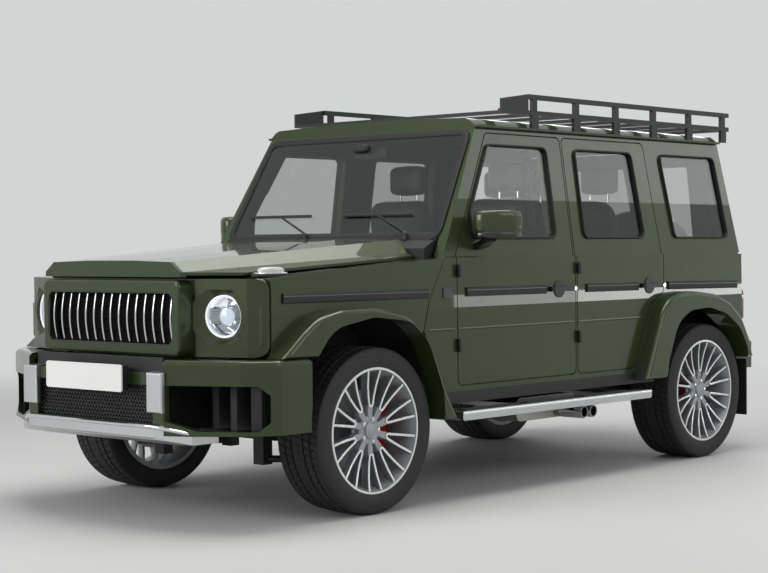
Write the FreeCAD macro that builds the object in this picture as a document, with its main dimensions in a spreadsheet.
"""A boxy four-wheel-drive estate car on a ladder frame, modelled as an assembly.

The frame is +X forwards, +Y to the driver's left and +Z up. The origin lies on the ground,
halfway along the car and on its centre plane. All sizes are in millimetres.
"""
import FreeCAD, Part
import math
import os
import re
import Sketcher
from FreeCAD import Placement, Rotation, Vector

# Driving sizes. Names that start with at_ are distances behind the front axle, and
# names that start with fore_ are distances ahead of it.
SIZES = {
    # Whole car
    "wheelbase": 2890, "front_overhang": 1024, "rear_overhang": 780,
    "half_track": 765, "king_half": 700,
    # Body side, as half-widths and heights
    "body_half": 865, "belt_inset": 3, "glass_inset": 17, "roof_inset": 113,
    "sill_z": 480, "crease_z": 830, "waist_z": 960, "belt_z": 1209, "belt_step": 6, "drip_z": 1880,
    "skin": 14, "side_wall": 60, "seam": 6,
    "at_cowl": 553, "at_wing_seam": 432, "wing_seam_z": 996,
    "at_flare_seam": 390, "flare_seam_z": 850, "at_sill_front": 583,
    "at_rear": 3375, "rear_lean": 104, "rear_low_z": 560,
    # Doors
    "at_door_front": 648, "at_front_door_rear": 1642, "at_rear_door_front": 1664,
    "at_rear_door_rear": 2506, "rear_door_lean": 60, "door_low_z": 571, "door_top_z": 1850,
    "door_inset": 22, "door_skin": 8, "door_corner": 30,
    "arch_cut_z": 1000, "arch_cut_mid": 940, "at_arch_cut_mid": 2385,
    "at_arch_cut_low": 2190,
    "window_low_z": 1308, "window_top_z": 1792, "window_corner": 38, "sail_z": 1437,
    "at_sail": 799, "window_frame": 28, "front_window_end": 140,
    "rear_window_start": 97, "rear_window_end": 160, "window_lean": 42,
    "at_quarter_front": 2600, "at_quarter_rear": 3190, "quarter_lean": 60,
    "glass_sink": 4, "glass_thick": 5, "hinge_out": 14, "hinge_radius": 9, "hinge_length": 62,
    "hinge_upper_z": 1143, "hinge_lower_z": 770, "handle_z": 1034, "handle_dish": 47,
    "dish_proud": 5, "handle_proud": 36, "handle_inset": 148, "grip_ahead": 96, "grip_behind": 112,
    "grip_high": 26, "grip_thick": 17, "grip_round": 8, "button_radius": 11,
    # Arches and flares
    "arch_radius": 540, "flare_out": 90, "flare_edge": 24,
    # Wings, nose, grille, lamps
    "wing_thick": 25, "fore_wing": 645, "wing_front_z": 1128, "shelf_inset": 160,
    "shelf_thick": 22, "nose_wall": 30, "tab_reach": 30, "tab_thick": 5,
    "fore_nose": 790, "nose_low_z": 775, "nose_inset": 5, "nose_corner": 55,
    "nose_flat_inset": 345, "nose_ridge_inset": 80, "nose_sweep": 75, "nose_ridge_round": 30,
    "surround_inset": 365, "surround_low_z": 776, "surround_top_z": 1122, "surround_corner": 36,
    "fore_surround": 872, "grille_inset": 405, "grille_low_z": 822, "grille_top_z": 1070,
    "grille_corner": 58, "grille_depth": 40, "slat_wide": 9, "slat_deep": 22,
    "slat_bow": 14, "slat_rail": 12,
    "lamp_inset": 217, "lamp_z": 958, "lamp_radius": 104, "lamp_depth": 70, "lamp_room": 132,
    "fore_lamp": 737, "lamp_floor": 8, "lamp_house": 60, "lamp_house_wall": 18,
    "lamp_ring": 9, "turret_inset": 123, "turret_wide": 72, "turret_long": 205,
    "turret_high": 50, "fore_turret": 632,
    # Bonnet
    "fore_bonnet": 857, "bonnet_thick": 14, "bonnet_inset": 167, "bonnet_sweep": 205,
    "raise_inset_front": 268, "raise_inset_rear": 98, "raise_slope": 65,
    "bonnet_front_z": 1205, "bonnet_rear_z": 1302, "raise_front": 46, "raise_rear": 68,
    "bonnet_lip_z": 1136, "bonnet_lip": 20, "at_bonnet_rear": 500, "bonnet_bow": 14,
    "at_hood_hinge": 517, "hood_hinge_z": 1285, "hood_hinge_y": 450, "hood_arm_long": 30,
    "hood_arm_half": 25, "lug_wide": 18,
    # Cowl, windscreen and scuttle
    "screen_low_z": 1298, "screen_top_z": 1872, "screen_inset_low": 83, "screen_inset_top": 14,
    "screen_thick": 6, "cowl_front": 46, "cowl_low_z": 1190, "cowl_top_z": 1340,
    "cowl_shelf_z": 1258, "cowl_inset": 101, "at_bulkhead": 645, "bulkhead_thick": 20,
    # Roof
    "roof_top": 1945, "roof_skin": 22, "drip_out": 24, "rail_high": 12, "roof_edge": 45,
    "header_deep": 55, "header_low_z": 1838,
    # Floor, frame and tubs
    "floor_low": 620, "floor_thick": 30, "rail_inner": 330, "rail_outer": 400,
    "rail_low": 500, "fore_rail": 800, "member_long": 90,
    "tow_reach": 60, "tow_root": 150, "tow_thick": 20, "tow_low": 412, "tow_hole_back": 25,
    "tow_hole_z": 452, "tow_hole_radius": 17.5,
    "tub_half": 590, "tub_reach": 470, "tub_top": 950, "tub_wall": 12,
    "deck_behind": 400, "deck_ahead": 240, "deck_half": 570, "deck_rise": 6,
    "jack_back": 2223, "jack_long": 90, "jack_wide": 60, "jack_drop": 10,
    # Front bumper
    "bumper_low_z": 428, "bumper_top_z": 768, "fore_bumper": 965,
    "bumper_centre_inset": 465, "bumper_shoulder_inset": 125, "fore_shoulder": 800,
    "fore_corner": 690, "bumper_wall": 30, "bumper_rear": 480, "bumper_edge": 26,
    "bumper_corner": 40,
    "centre_low_z": 478, "centre_top_z": 652, "centre_step_z": 708, "centre_wall": 65,
    "intake_in": 8, "intake_out": 27, "intake_low_z": 452, "intake_top_z": 654,
    "intake_corner": 42, "intake_slope": 140, "fin_thick": 40, "fin_deep": 90, "fin_back": 20,
    "mesh_thick": 14, "strip_wide": 103, "strip_low_z": 530, "strip_top_z": 712,
    "strip_thick": 24, "strip_in": 85,
    "skid_out": 10, "skid_kink_out": 130, "skid_sweep": 60, "skid_top_z": 474, "skid_kink_z": 414,
    "skid_low_z": 376, "skid_proud": 22, "skid_back": 220, "skid_thick": 26,
    "plate_half": 278, "plate_low_z": 618, "plate_high": 124, "plate_thick": 8,
    # Rear
    "gate_inset": 175, "gate_low_z": 690, "gate_top_z": 1845, "gate_wall": 60,
    "gate_corner": 40, "gate_frame": 130, "gate_glass_low": 1290, "gate_glass_top": 1760,
    "gate_hinge_out": 16, "spare_radius": 388, "spare_z": 1098,
    "spare_gap": 42, "spare_edge": 42, "spare_disc": 300, "spare_sink": 14, "carrier_radius": 120,
    "gutter": 8,
    "tail_wide": 92, "tail_low_z": 800, "tail_high": 190, "tail_thick": 26,
    "rear_bumper_deep": 160, "rear_bumper_top": 668, "rear_bumper_low": 500,
    "rear_bumper_inset": 5, "flap_thick": 10, "flap_low": 215, "flap_wide": 250,
    "flap_gap": 10, "flap_out": 33, "liner_thick": 6, "liner_inner": 412,
    # Running boards and exhaust
    "board_front": 585, "board_rear": 2254, "board_gap": 3, "board_inset": 7,
    "board_low": 400, "board_high": 47, "board_edge": 14, "bracket_long": 60,
    "bracket_thick": 24, "bracket_low": 440,
    "muffler_front": 1250, "muffler_long": 520, "muffler_wide": 290, "muffler_gap": 102,
    "muffler_low": 330, "muffler_high": 125, "muffler_edge": 40, "tip_radius": 31,
    "tip_wall": 4, "tip_inset": 30, "tip_gap": 84, "tip_z": 364,
    # Engine and driveline
    "engine_front": 300, "engine_long": 640, "engine_half": 300, "engine_low": 560,
    "engine_top": 1080, "box_long": 760, "box_half": 170, "box_low": 400, "box_top": 615,
    "shaft_radius": 35, "tank_half": 310, "tank_low": 380, "tank_start": 200, "tank_long": 250,
    # Axles and suspension
    "axle_radius": 44, "diff_radius": 140, "front_diff_radius": 92, "front_diff_half": 110,
    "arm_radius": 17, "arm_spread": 230, "lower_arm_drop": 150, "upper_arm_rise": 120,
    "upper_pivot_z": 530, "pivot_block": 26, "pivot_wide": 30, "damper_radius": 40,
    "damper_y": 472, "damper_top": 596, "spring_plate": 24, "half_shaft_radius": 17,
    "half_shaft_end": 600, "joint_radius": 40, "bearing_gap": 0.3, "ball_radius": 26,
    "knuckle_wide": 50, "knuckle_half": 60, "stud_radius": 14, "stud_high": 14,
    "spindle_radius": 30, "spindle_end": 10,
    "steer_arm": 170, "steer_arm_y": 615, "steer_arm_wide": 26, "steer_arm_thick": 16,
    "steer_arm_drop": 78, "rack_rise": 36, "bar_radius": 13, "housing_radius": 25,
    "bar_end": 618, "housing_half": 400, "eye_radius": 18, "spring_radius": 58,
    "spring_y": 460, "spring_ahead": 130, "trailing_y": 462, "trailing_ahead": 560,
    "caliper_in": 112, "caliper_out": 222, "caliper_half": 95, "caliper_wall": 26,
    "caliper_gap": 5.5, "carrier_half": 52,
    # Wheels
    "tyre_radius": 397.5, "tyre_width": 285, "rim_half": 135, "bead_radius": 290,
    "bead_gap": 0.3, "flange_high": 12, "rim_wall": 9, "rim_drop": 18, "well_half": 55,
    "rim_lip": 12, "tyre_wall": 16, "tread_half": 112, "hub_radius": 74, "spoke_thick": 30,
    "spoke_face": 118, "spoke_wide": 17, "spoke_spread": 43, "spoke_notch": 105,
    "disc_radius": 192, "disc_thick": 30, "disc_gap": 5, "hat_radius": 92, "hub_face": 106,
    # Interior
    "seat_y": 375, "seat_half": 245, "seat_front": 1085, "seat_long": 510, "seat_low": 800,
    "seat_thick": 150, "back_thick": 150, "back_top": 1560, "head_high": 165, "head_half": 130,
    "head_thick": 95, "head_gap": 8, "seat_edge": 40, "seat_lean": 90, "bench_half": 568,
    "bench_front": 1960, "dash_deep": 290, "dash_low": 960, "dash_top": 1216, "dash_inset": 125,
    "dash_edge": 40, "console_half": 110, "console_long": 900, "console_top": 930, "dash_lip": 60,
    "helm_spoke_thick": 14, "column_long": 330,
    "helm_x": 1045, "helm_z": 1145, "helm_radius": 182, "helm_rim": 16, "helm_boss": 62,
    "helm_boss_thick": 46, "column_radius": 32, "column_gap": 0.5, "helm_spoke": 26,
    # Outside fittings
    "at_mirror": 708, "mirror_long": 230, "mirror_gap": 20, "mirror_wide": 190,
    "mirror_back": 90, "mirror_tip": 75, "mirror_low": 1302, "mirror_high": 150,
    "mirror_edge": 36, "mirror_corner": 28, "mirror_arm_long": 80, "mirror_arm_back": 145,
    "mirror_arm_low": 1246,
    "rack_front": 1130, "rack_rear": 3385, "rack_out": 18, "rack_low": 1962,
    "rack_high": 112, "rack_tube": 26, "rack_post": 34, "rack_slat_wide": 60,
    "rack_slat_thick": 16, "rack_hole_in": 170, "rack_hole_radius": 4.5, "rack_foot": 60,
    "rack_plate": 230, "wiper_radius": 5,
    "wiper_right_y": -152, "wiper_left_y": 567, "wiper_z": 1340, "blade_z": 1435,
    "blade_reach": 262, "blade_half": 240, "wiper_stand": 20,
    "radiator_half": 400, "radiator_top": 1060, "radiator_thick": 60,
    "fore_radiator": 660,
    # Cutting tools run this far past what they cut
    "overrun": 60,
}
# Angles in degrees, counts and shares of other sizes
SETTINGS = {
    "helm_tilt": 26, "screen_lean_share": 0.559, "slat_count": 15, "spoke_pair_count": 10,
    "rack_post_count": 6, "rack_slat_count": 9, "fin_count": 3, "member_count": 6,
    "plate_share": 0.9, "arch_round_share": 0.4, "bow_share": 0.4, "base_share": 0.8,
    "back_low_share": 0.6, "turret_top_share": 0.7, "spoke_root_share": 0.8,
    "rack_plate_share": 0.7, "fin_space_share": 0.6, "tip_start_share": 0.6,
}

# Places that follow from the sizes
PLACES = {
    "axle_f": "(wheelbase + rear_overhang - front_overhang) / 2",
    "axle_r": "axle_f - wheelbase",
    "x_front": "axle_f + front_overhang",
    "x_tail": "axle_r - rear_overhang",
    "belt_half": "body_half - belt_inset",
    "glass_half": "body_half - glass_inset",
    "roof_half": "body_half - roof_inset",
    "flare_half": "body_half + flare_out",
    "bumper_half": "flare_half",
    "bumper_centre_half": "bumper_half - bumper_centre_inset",
    "bumper_shoulder_half": "bumper_half - bumper_shoulder_inset",
    "centre_half": "bumper_centre_half - centre_wall",
    "intake_inner": "bumper_centre_half + intake_in",
    "intake_outer": "bumper_half - intake_out",
    "strip_half": "bumper_centre_half - strip_in",
    "skid_half": "bumper_centre_half + skid_out",
    "skid_kink": "bumper_centre_half + skid_kink_out",
    "nose_half": "body_half - nose_inset",
    "nose_flat_half": "body_half - nose_flat_inset",
    "nose_ridge_half": "body_half - nose_ridge_inset",
    "surround_half": "body_half - surround_inset",
    "grille_half": "body_half - grille_inset",
    "lamp_y": "body_half - lamp_inset",
    "shelf_half": "body_half - shelf_inset",
    "turret_y": "body_half - turret_inset",
    "bonnet_half": "body_half - bonnet_inset",
    "raise_half_front": "bonnet_half - raise_inset_front",
    "raise_half_rear": "bonnet_half - raise_inset_rear",
    "screen_half_low": "body_half - screen_inset_low",
    "screen_half_top": "roof_half - screen_inset_top",
    "cowl_half": "body_half - cowl_inset",
    "rail_out": "roof_half + drip_out",
    "gate_half": "body_half - gate_inset",
    "gate_glass_half": "gate_half - gate_frame",
    "rear_bumper_half": "body_half - rear_bumper_inset",
    "board_inner": "body_half - board_gap",
    "board_outer": "flare_half - board_inset",
    "muffler_outer": "board_inner - muffler_gap",
    "muffler_inner": "muffler_outer - muffler_wide",
    "tip_reach": "flare_half - tip_inset",
    "dash_half": "body_half - dash_inset",
    "mirror_inner": "body_half + mirror_gap",
    "mirror_outer": "mirror_inner + mirror_wide",
    "rack_half": "roof_half + rack_out",
    "rack_hole_y": "rack_half - rack_hole_in",
    "floor_top": "floor_low + floor_thick",
    "inner_half": "body_half - side_wall",
    "rail_middle": "(rail_inner + rail_outer) / 2",
    "rear_top_x": "x_rear + rear_lean",
    "spare_depth": "rear_overhang + wheelbase - at_rear - spare_gap",
    "king_y": "king_half - knuckle_half / 2",
}
for word in SIZES:
    if word.startswith("at_"):
        PLACES["x_" + word[3:]] = f"axle_f - {word}"
    if word.startswith("fore_"):
        PLACES["x_" + word[5:]] = f"axle_f + {word}"

# Arch and flare outlines as shares of the arch radius, fore-aft then up from the axle
FRONT_ARCH_SHARES = [(0.90, -0.9), (0.90, 0.20), (0.835, 0.67), (0.62, 0.92), (0.12, 1.0),
                     (-0.36, 0.95), (-0.60, 0.77), (-0.80, 0.30), (-0.90, -0.9)]
FRONT_FLARE_SHARES = [(1.22, 0.69), (0.96, 0.90), (0.78, 1.02), (0.50, 1.075), (0.05, 1.08),
                      (-0.33, 1.01), (-0.62, 0.77), (-0.86, 0.28), (-1.02, 0.03),
                      (-0.85, 0.03), (0.82, 0.69)]
REAR_ARCH_SHARES = [(0.98, -0.9), (0.93, 0.0), (0.86, 0.38), (0.68, 0.78), (0.42, 0.90),
                    (0.05, 0.92), (-0.30, 0.84), (-0.58, 0.68), (-0.74, 0.45), (-0.80, 0.2),
                    (-0.84, -0.9)]
REAR_FLARE_SHARES = [(1.285, 0.19), (0.92, 0.99), (0.68, 1.085), (0.30, 1.10), (-0.10, 1.06),
                     (-0.40, 0.96), (-0.64, 0.79), (-0.80, 0.55), (-0.885, 0.33),
                     (-0.72, 0.33), (0.95, 0.19)]

doc = FreeCAD.newDocument("EstateCar")
sheet = doc.addObject("Spreadsheet::Sheet", "Sizes")
for row, (alias, number) in enumerate({**SIZES, **SETTINGS}.items(), start=1):
    sheet.set(f"A{row}", alias)
    sheet.set(f"B{row}", str(number))
    sheet.setAlias(f"B{row}", alias)
doc.recompute()

WORD = re.compile(r"[A-Za-z_]\w*")
AXES = {"X": Vector(1, 0, 0), "Y": Vector(0, 1, 0), "Z": Vector(0, 0, 1)}
FROM_Z = {"X": Rotation(Vector(0, 1, 0), 90), "Y": Rotation(Vector(1, 0, 0), -90), "Z": Rotation()}
NODES = []


def ex(text):
    """Turn a formula in plain size names into one that reads the sheet."""
    def swap(found):
        name = found[0]
        if name in SIZES or name in SETTINGS:
            return "Sizes." + name
        return f"({ex(PLACES[name])})" if name in PLACES else name
    return WORD.sub(swap, str(text))


def number(text):
    """Give the present value of a formula."""
    return float(sheet.evalExpression(ex(text)))


def bind(thing, **formulas):
    """Bind properties to formulas; a double underscore in a name stands for a dot."""
    for name, formula in formulas.items():
        thing.setExpression(name.replace("__", "."), ex(formula))
    return thing


def node(thing, name):
    """Name a finished sub-part and list it for writing."""
    thing.Label = name
    NODES.append(thing)
    return thing


def corner(before, here, after, radius):
    """Give the two ends and the centre of the arc that rounds one corner."""
    one, two = (before - here).normalize(), (after - here).normalize()
    half = one.getAngle(two) / 2
    middle = (one + two).normalize()
    reach = radius / math.tan(half)
    return here + one * reach, here + two * reach, here + middle * (radius / math.sin(half))


def draw(sketch, points):
    """Draw a closed outline; a point is two formulas, and a third one rounds its corner."""
    spots = [Vector(number(point[0]), number(point[1]), 0) for point in points]
    total = len(points)
    ends = []
    for i, point in enumerate(points):
        if len(point) == 3:
            ends.append(corner(spots[i - 1], spots[i], spots[(i + 1) % total], number(point[2])))
        else:
            ends.append((spots[i], spots[i], None))
    for i in range(total):
        sketch.addGeometry(Part.LineSegment(ends[i][1], ends[(i + 1) % total][0]), False)
    for i, point in enumerate(points):
        before = (i - 1) % total
        if len(point) == 3:
            start, stop, centre = ends[i]
            turn = (spots[i] - spots[before]).cross(spots[(i + 1) % total] - spots[i]).z
            first, last = (start, stop) if turn > 0 else (stop, start)
            circle = Part.Circle(centre, Vector(0, 0, 1), number(point[2]))
            arc = sketch.addGeometry(
                Part.ArcOfCircle(circle, circle.parameter(first), circle.parameter(last)), False)
            mark = sketch.addGeometry(Part.Point(spots[i]), True)
            near, far = (1, 2) if turn > 0 else (2, 1)
            sketch.addConstraint([
                Sketcher.Constraint("Tangent", before, 2, arc, near),
                Sketcher.Constraint("Tangent", i, 1, arc, far),
                Sketcher.Constraint("PointOnObject", mark, 1, before),
                Sketcher.Constraint("PointOnObject", mark, 1, i)])
            size = sketch.addConstraint(Sketcher.Constraint("Radius", arc, number(point[2])))
            sketch.setExpression(f"Constraints[{size}]", ex(point[2]))
            place = mark
        else:
            sketch.addConstraint(Sketcher.Constraint("Coincident", before, 2, i, 1))
            place = i
        for kind, spot, formula in (("DistanceX", spots[i].x, point[0]),
                                    ("DistanceY", spots[i].y, point[1])):
            size = sketch.addConstraint(Sketcher.Constraint(kind, -1, 1, place, 1, spot))
            sketch.setExpression(f"Constraints[{size}]", ex(formula))
    return sketch


def mirrored_points(points):
    """Give a symmetric outline: the points, then their mirror images in reverse order."""
    return points + [(f"-({point[0]})", *point[1:]) for point in reversed(points)]


def free_outline(name, plane, points):
    """Draw an outline on a plane of the car."""
    sketch = doc.addObject("Sketcher::SketchObject", name)
    turn = {"XY": Rotation(), "XZ": Rotation(Vector(1, 0, 0), 90),
            "YZ": Rotation(Vector(1, 1, 1), 120)}[plane]
    sketch.Placement = Placement(Vector(), turn)
    draw(sketch, points)
    doc.recompute([sketch])
    return sketch


def grown(name, outline, step):
    """Move an outline outwards by a formula, or inwards if it is negative."""
    ring = doc.addObject("Part::Offset2D", name)
    ring.Source = outline
    ring.Join = 2
    return bind(ring, Value=step)


def prism(name, outline, axis, start, stop):
    """Carry an outline along an axis from one place to another."""
    solid = doc.addObject("Part::Extrusion", name)
    solid.Base = outline
    solid.DirMode = "Custom"
    solid.Dir = AXES[axis]
    solid.Solid = True
    return bind(solid, LengthFwd=f"({stop})", LengthRev=f"-({start})")


def plane_of(body, plane):
    """Find one of a body's own origin planes."""
    return [item for item in body.Origin.OriginFeatures if item.Role == plane + "_Plane"][0]


def slab(name, plane, points, start, stop, edges=None, radius=None):
    """Pad an outline between two places along the plane's normal, with its edges rounded."""
    body = doc.addObject("PartDesign::Body", name)
    sketch = body.newObject("Sketcher::SketchObject", name + "_outline")
    sketch.AttachmentSupport = [(plane_of(body, plane), "")]
    sketch.MapMode = "FlatFace"
    flip = plane == "XZ"
    bind(sketch, AttachmentOffset__Base__z=f"-({start})" if flip else start)
    draw(sketch, points)
    pad = body.newObject("PartDesign::Pad", name + "_pad")
    pad.Profile = sketch
    pad.Reversed = flip
    bind(pad, Length=f"({stop}) - ({start})")
    if edges:
        doc.recompute()
        picked = [f"Edge{i}" for i, edge in enumerate(pad.Shape.Edges, 1) if edges(edge)]
        soft = body.newObject("PartDesign::Fillet", name + "_round")
        soft.Base = (pad, picked)
        bind(soft, Radius=radius)
    return body


def along(axis):
    """Pick straight edges that run along an axis."""
    def test(edge):
        if edge.Curve.TypeId != "Part::GeomLine":
            return False
        way = edge.lastVertex().Point - edge.firstVertex().Point
        return abs(way.normalize().dot(AXES[axis])) > 0.999
    return test


def at_end(axis, place):
    """Pick edges that lie in the plane at one place along an axis."""
    index = "XYZ".index(axis)

    def test(edge):
        box = edge.BoundBox
        low = (box.XMin, box.YMin, box.ZMin)[index]
        high = (box.XMax, box.YMax, box.ZMax)[index]
        return abs(low - number(place)) < 0.01 and abs(high - number(place)) < 0.01
    return test


def block(name, x, y, z):
    """Make a box between two places along each axis."""
    box = doc.addObject("Part::Box", name)
    for size, axis, (low, high) in zip(("Length", "Width", "Height"), "xyz", (x, y, z)):
        box.setExpression(size, ex(f"({high}) - ({low})"))
        box.setExpression("Placement.Base." + axis, ex(low))
    return box


def rod(name, axis, centre, radius, start, stop):
    """Make a cylinder along an axis; centre gives its places along the other two axes."""
    tube = doc.addObject("Part::Cylinder", name)
    tube.Placement = Placement(Vector(), FROM_Z[axis])
    bind(tube, Radius=radius, Height=f"({stop}) - ({start})")
    others = [letter for letter in "XYZ" if letter != axis]
    places = dict(zip(others, centre)) | {axis: start}
    for letter, formula in places.items():
        tube.setExpression("Placement.Base." + letter.lower(), ex(formula))
    return tube


def link(name, start, stop, radius):
    """Make a round bar between two points in space."""
    one, two = (Vector(*map(number, point)) for point in (start, stop))
    bar = doc.addObject("Part::Cylinder", name)
    bar.Placement = Placement(one, Rotation(Vector(0, 0, 1), two - one))
    terms = [f"(({b}) - ({a})) ^ 2" for a, b in zip(start, stop)]
    for axis, formula in zip("xyz", start):
        bar.setExpression("Placement.Base." + axis, ex(formula))
    return bind(bar, Radius=radius, Height=f"sqrt({' + '.join(terms)})")


def ball(name, centre, radius):
    """Make a ball."""
    thing = doc.addObject("Part::Sphere", name)
    for axis, formula in zip("xyz", centre):
        thing.setExpression("Placement.Base." + axis, ex(formula))
    return bind(thing, Radius=radius)


def joined(name, *parts):
    """Fuse parts into one."""
    thing = doc.addObject("Part::MultiFuse", name)
    thing.Shapes = list(parts)
    return thing


def cut(name, base, *tools):
    """Cut tools from a base."""
    thing = doc.addObject("Part::Cut", name)
    thing.Base = base
    thing.Tool = tools[0] if len(tools) == 1 else joined(name + "_tools", *tools)
    return thing


def shared(name, one, two):
    """Keep what two parts have in common."""
    thing = doc.addObject("Part::Common", name)
    thing.Base, thing.Tool = one, two
    return thing


def mirrored(name, source, normal="Y"):
    """Mirror a part through the car's centre plane."""
    thing = doc.addObject("Part::Mirroring", name)
    thing.Source = source
    thing.Normal = AXES[normal]
    return thing


def group(name, *parts):
    """Keep like pieces that don't touch as one sub-part."""
    thing = doc.addObject("Part::Compound", name)
    thing.Links = list(parts)
    return thing


def pair(name, source):
    """Group a left piece with its right mirror image."""
    return group(name, source, mirrored(name + "_right", source))


def turned(name, points, centre):
    """Revolve an outline about a line along Y through a centre: points are (y, radius)."""
    body = doc.addObject("PartDesign::Body", name)
    sketch = body.newObject("Sketcher::SketchObject", name + "_profile")
    sketch.AttachmentSupport = [(plane_of(body, "YZ"), "")]
    sketch.MapMode = "FlatFace"
    draw(sketch, points)
    solid = body.newObject("PartDesign::Revolution", name + "_turn")
    solid.Profile = sketch
    solid.ReferenceAxis = (sketch, ["H_Axis"])
    solid.Angle = 360
    bind(body, Placement__Base__x=centre[0], Placement__Base__y=centre[1],
         Placement__Base__z=centre[2])
    return body


def spun(name, points):
    """Revolve an outline about the Z axis: points are (radius, z)."""
    body = doc.addObject("PartDesign::Body", name)
    sketch = body.newObject("Sketcher::SketchObject", name + "_profile")
    sketch.AttachmentSupport = [(plane_of(body, "XZ"), "")]
    sketch.MapMode = "FlatFace"
    draw(sketch, points)
    solid = body.newObject("PartDesign::Revolution", name + "_turn")
    solid.Profile = sketch
    solid.ReferenceAxis = (sketch, ["V_Axis"])
    solid.Angle = 360
    return body


# The body side is drawn once, as heights with half-widths, and each layer follows it
SIDE_LINE = [("body_half", "sill_z"), ("body_half", "waist_z"), ("belt_half", "belt_z"),
             ("glass_half", "belt_z + belt_step"), ("roof_half", "drip_z")]


def side_layer(name, outer, inner):
    """Fill the body side between two depths in from its outer face, all along the car."""
    points = [(f"{half} - ({outer})", z) for half, z in SIDE_LINE]
    points += [(f"{half} - ({inner})", z) for half, z in reversed(SIDE_LINE)]
    return slab(name, "YZ", points, "x_tail", "x_front")


def screen_x(z, step="0"):
    """Give the place of the windscreen frame's leaning front face at a height."""
    return f"x_cowl - screen_lean_share * (({z}) - belt_z) + ({step})"


def door_edge_x(z, step="0"):
    """Give the place of the front door's leaning upper edge at a height."""
    return f"x_door_front - screen_lean_share * (({z}) - belt_z) + ({step})"


def arch_points(axle, shares):
    """Place an arch or flare outline round an axle."""
    return [(f"{axle} + arch_radius * ({x})", f"tyre_radius + arch_radius * ({z})",
             "arch_radius * arch_round_share") if 0 < i < len(shares) - 2 and z > 0.5 else
            (f"{axle} + arch_radius * ({x})", f"tyre_radius + arch_radius * ({z})")
            for i, (x, z) in enumerate(shares)]


# Body side: skin and inner wall with rebated openings for two doors
side_skin = side_layer("side_skin_layer", "0", "skin")
side_core = side_layer("side_core_layer", "skin", "side_wall")
door_skin_layer = side_layer("door_skin_layer", "0", "door_skin")
door_core_layer = side_layer("door_core_layer", "door_skin", "side_wall")
glass_layer = side_layer("glass_layer", "glass_sink", "glass_sink + glass_thick")

FRONT_DOOR = [
    ("x_door_front", "door_low_z", "door_corner"), ("x_door_front", "belt_z"),
    (door_edge_x("door_top_z"), "door_top_z", "door_corner"),
    ("x_front_door_rear", "door_top_z", "door_corner"),
    ("x_front_door_rear", "door_low_z", "door_corner")]
REAR_DOOR = [
    ("x_rear_door_front", "door_low_z", "door_corner"),
    ("x_rear_door_front", "door_top_z", "door_corner"),
    ("x_rear_door_rear + rear_door_lean", "door_top_z", "door_corner"),
    ("x_rear_door_rear", "belt_z"), ("x_rear_door_rear", "arch_cut_z", "door_corner"),
    ("x_arch_cut_mid", "arch_cut_mid", "door_corner"),
    ("x_arch_cut_low", "door_low_z", "door_corner")]
FRONT_WINDOW = [
    ("x_sail", "window_low_z", "window_corner"), ("x_sail", "sail_z"),
    (door_edge_x("window_top_z", "-window_frame"), "window_top_z", "window_corner"),
    ("x_front_door_rear + front_window_end", "window_top_z", "window_corner"),
    ("x_front_door_rear + front_window_end", "window_low_z", "window_corner")]
REAR_WINDOW = [
    ("x_rear_door_front - rear_window_start", "window_low_z", "window_corner"),
    ("x_rear_door_front - rear_window_start", "window_top_z", "window_corner"),
    ("x_rear_door_rear + rear_window_end + window_lean", "window_top_z", "window_corner"),
    ("x_rear_door_rear + rear_window_end", "window_low_z", "window_corner")]
QUARTER_WINDOW = [
    ("x_quarter_front - quarter_lean", "window_low_z", "window_corner"),
    ("x_quarter_front", "window_top_z", "window_corner"),
    ("x_quarter_rear", "window_top_z", "window_corner"),
    ("x_quarter_rear - quarter_lean", "window_low_z", "window_corner")]

DEPTH = ("0", "body_half + overrun")


def side_prism(name, outline):
    """Carry a side outline across the left half of the car."""
    return prism(name, outline, "Y", *DEPTH)


def hinge(name, x, z):
    """Make the barrel of one outside door hinge."""
    tube = rod(name, "Z", (x, "body_half + hinge_out"), "hinge_radius",
               f"{z} - hinge_length / 2", f"{z} + hinge_length / 2")
    leaf = block(name + "_leaf", (f"{x} - hinge_length / 2", f"{x} - seam / 2"),
                 ("body_half - door_skin", "body_half + hinge_out"),
                 (f"{z} - hinge_length / 3", f"{z} + hinge_length / 3"))
    return joined(name + "_hinge", tube, leaf)


def door_handle(name, x):
    """Make a pull grip over its round dish, with the push button at the rear end."""
    dish = rod(name + "_dish", "Y", (x, "handle_z"), "handle_dish", "body_half - door_skin",
               "body_half + dish_proud")
    grip = slab(name + "_grip", "XY", [
        (f"{x} + grip_ahead", "body_half - door_skin"),
        (f"{x} + grip_ahead", "body_half + handle_proud", "grip_thick"),
        (f"{x} - grip_behind", "body_half + handle_proud", "grip_thick"),
        (f"{x} - grip_behind", "body_half - door_skin"),
        (f"{x} - grip_behind + grip_high", "body_half - door_skin"),
        (f"{x} - grip_behind + grip_high", "body_half + handle_proud - grip_thick"),
        (f"{x} + grip_ahead - grip_high", "body_half + handle_proud - grip_thick"),
        (f"{x} + grip_ahead - grip_high", "body_half - door_skin")],
        "handle_z - grip_high / 2", "handle_z + grip_high / 2")
    button = rod(name + "_button", "Y", (f"{x} - grip_behind + grip_high / 2", "handle_z"),
                 "button_radius", "body_half", "body_half + handle_proud + grip_round / 2")
    return joined(name + "_handle", dish, grip, button)


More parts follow.
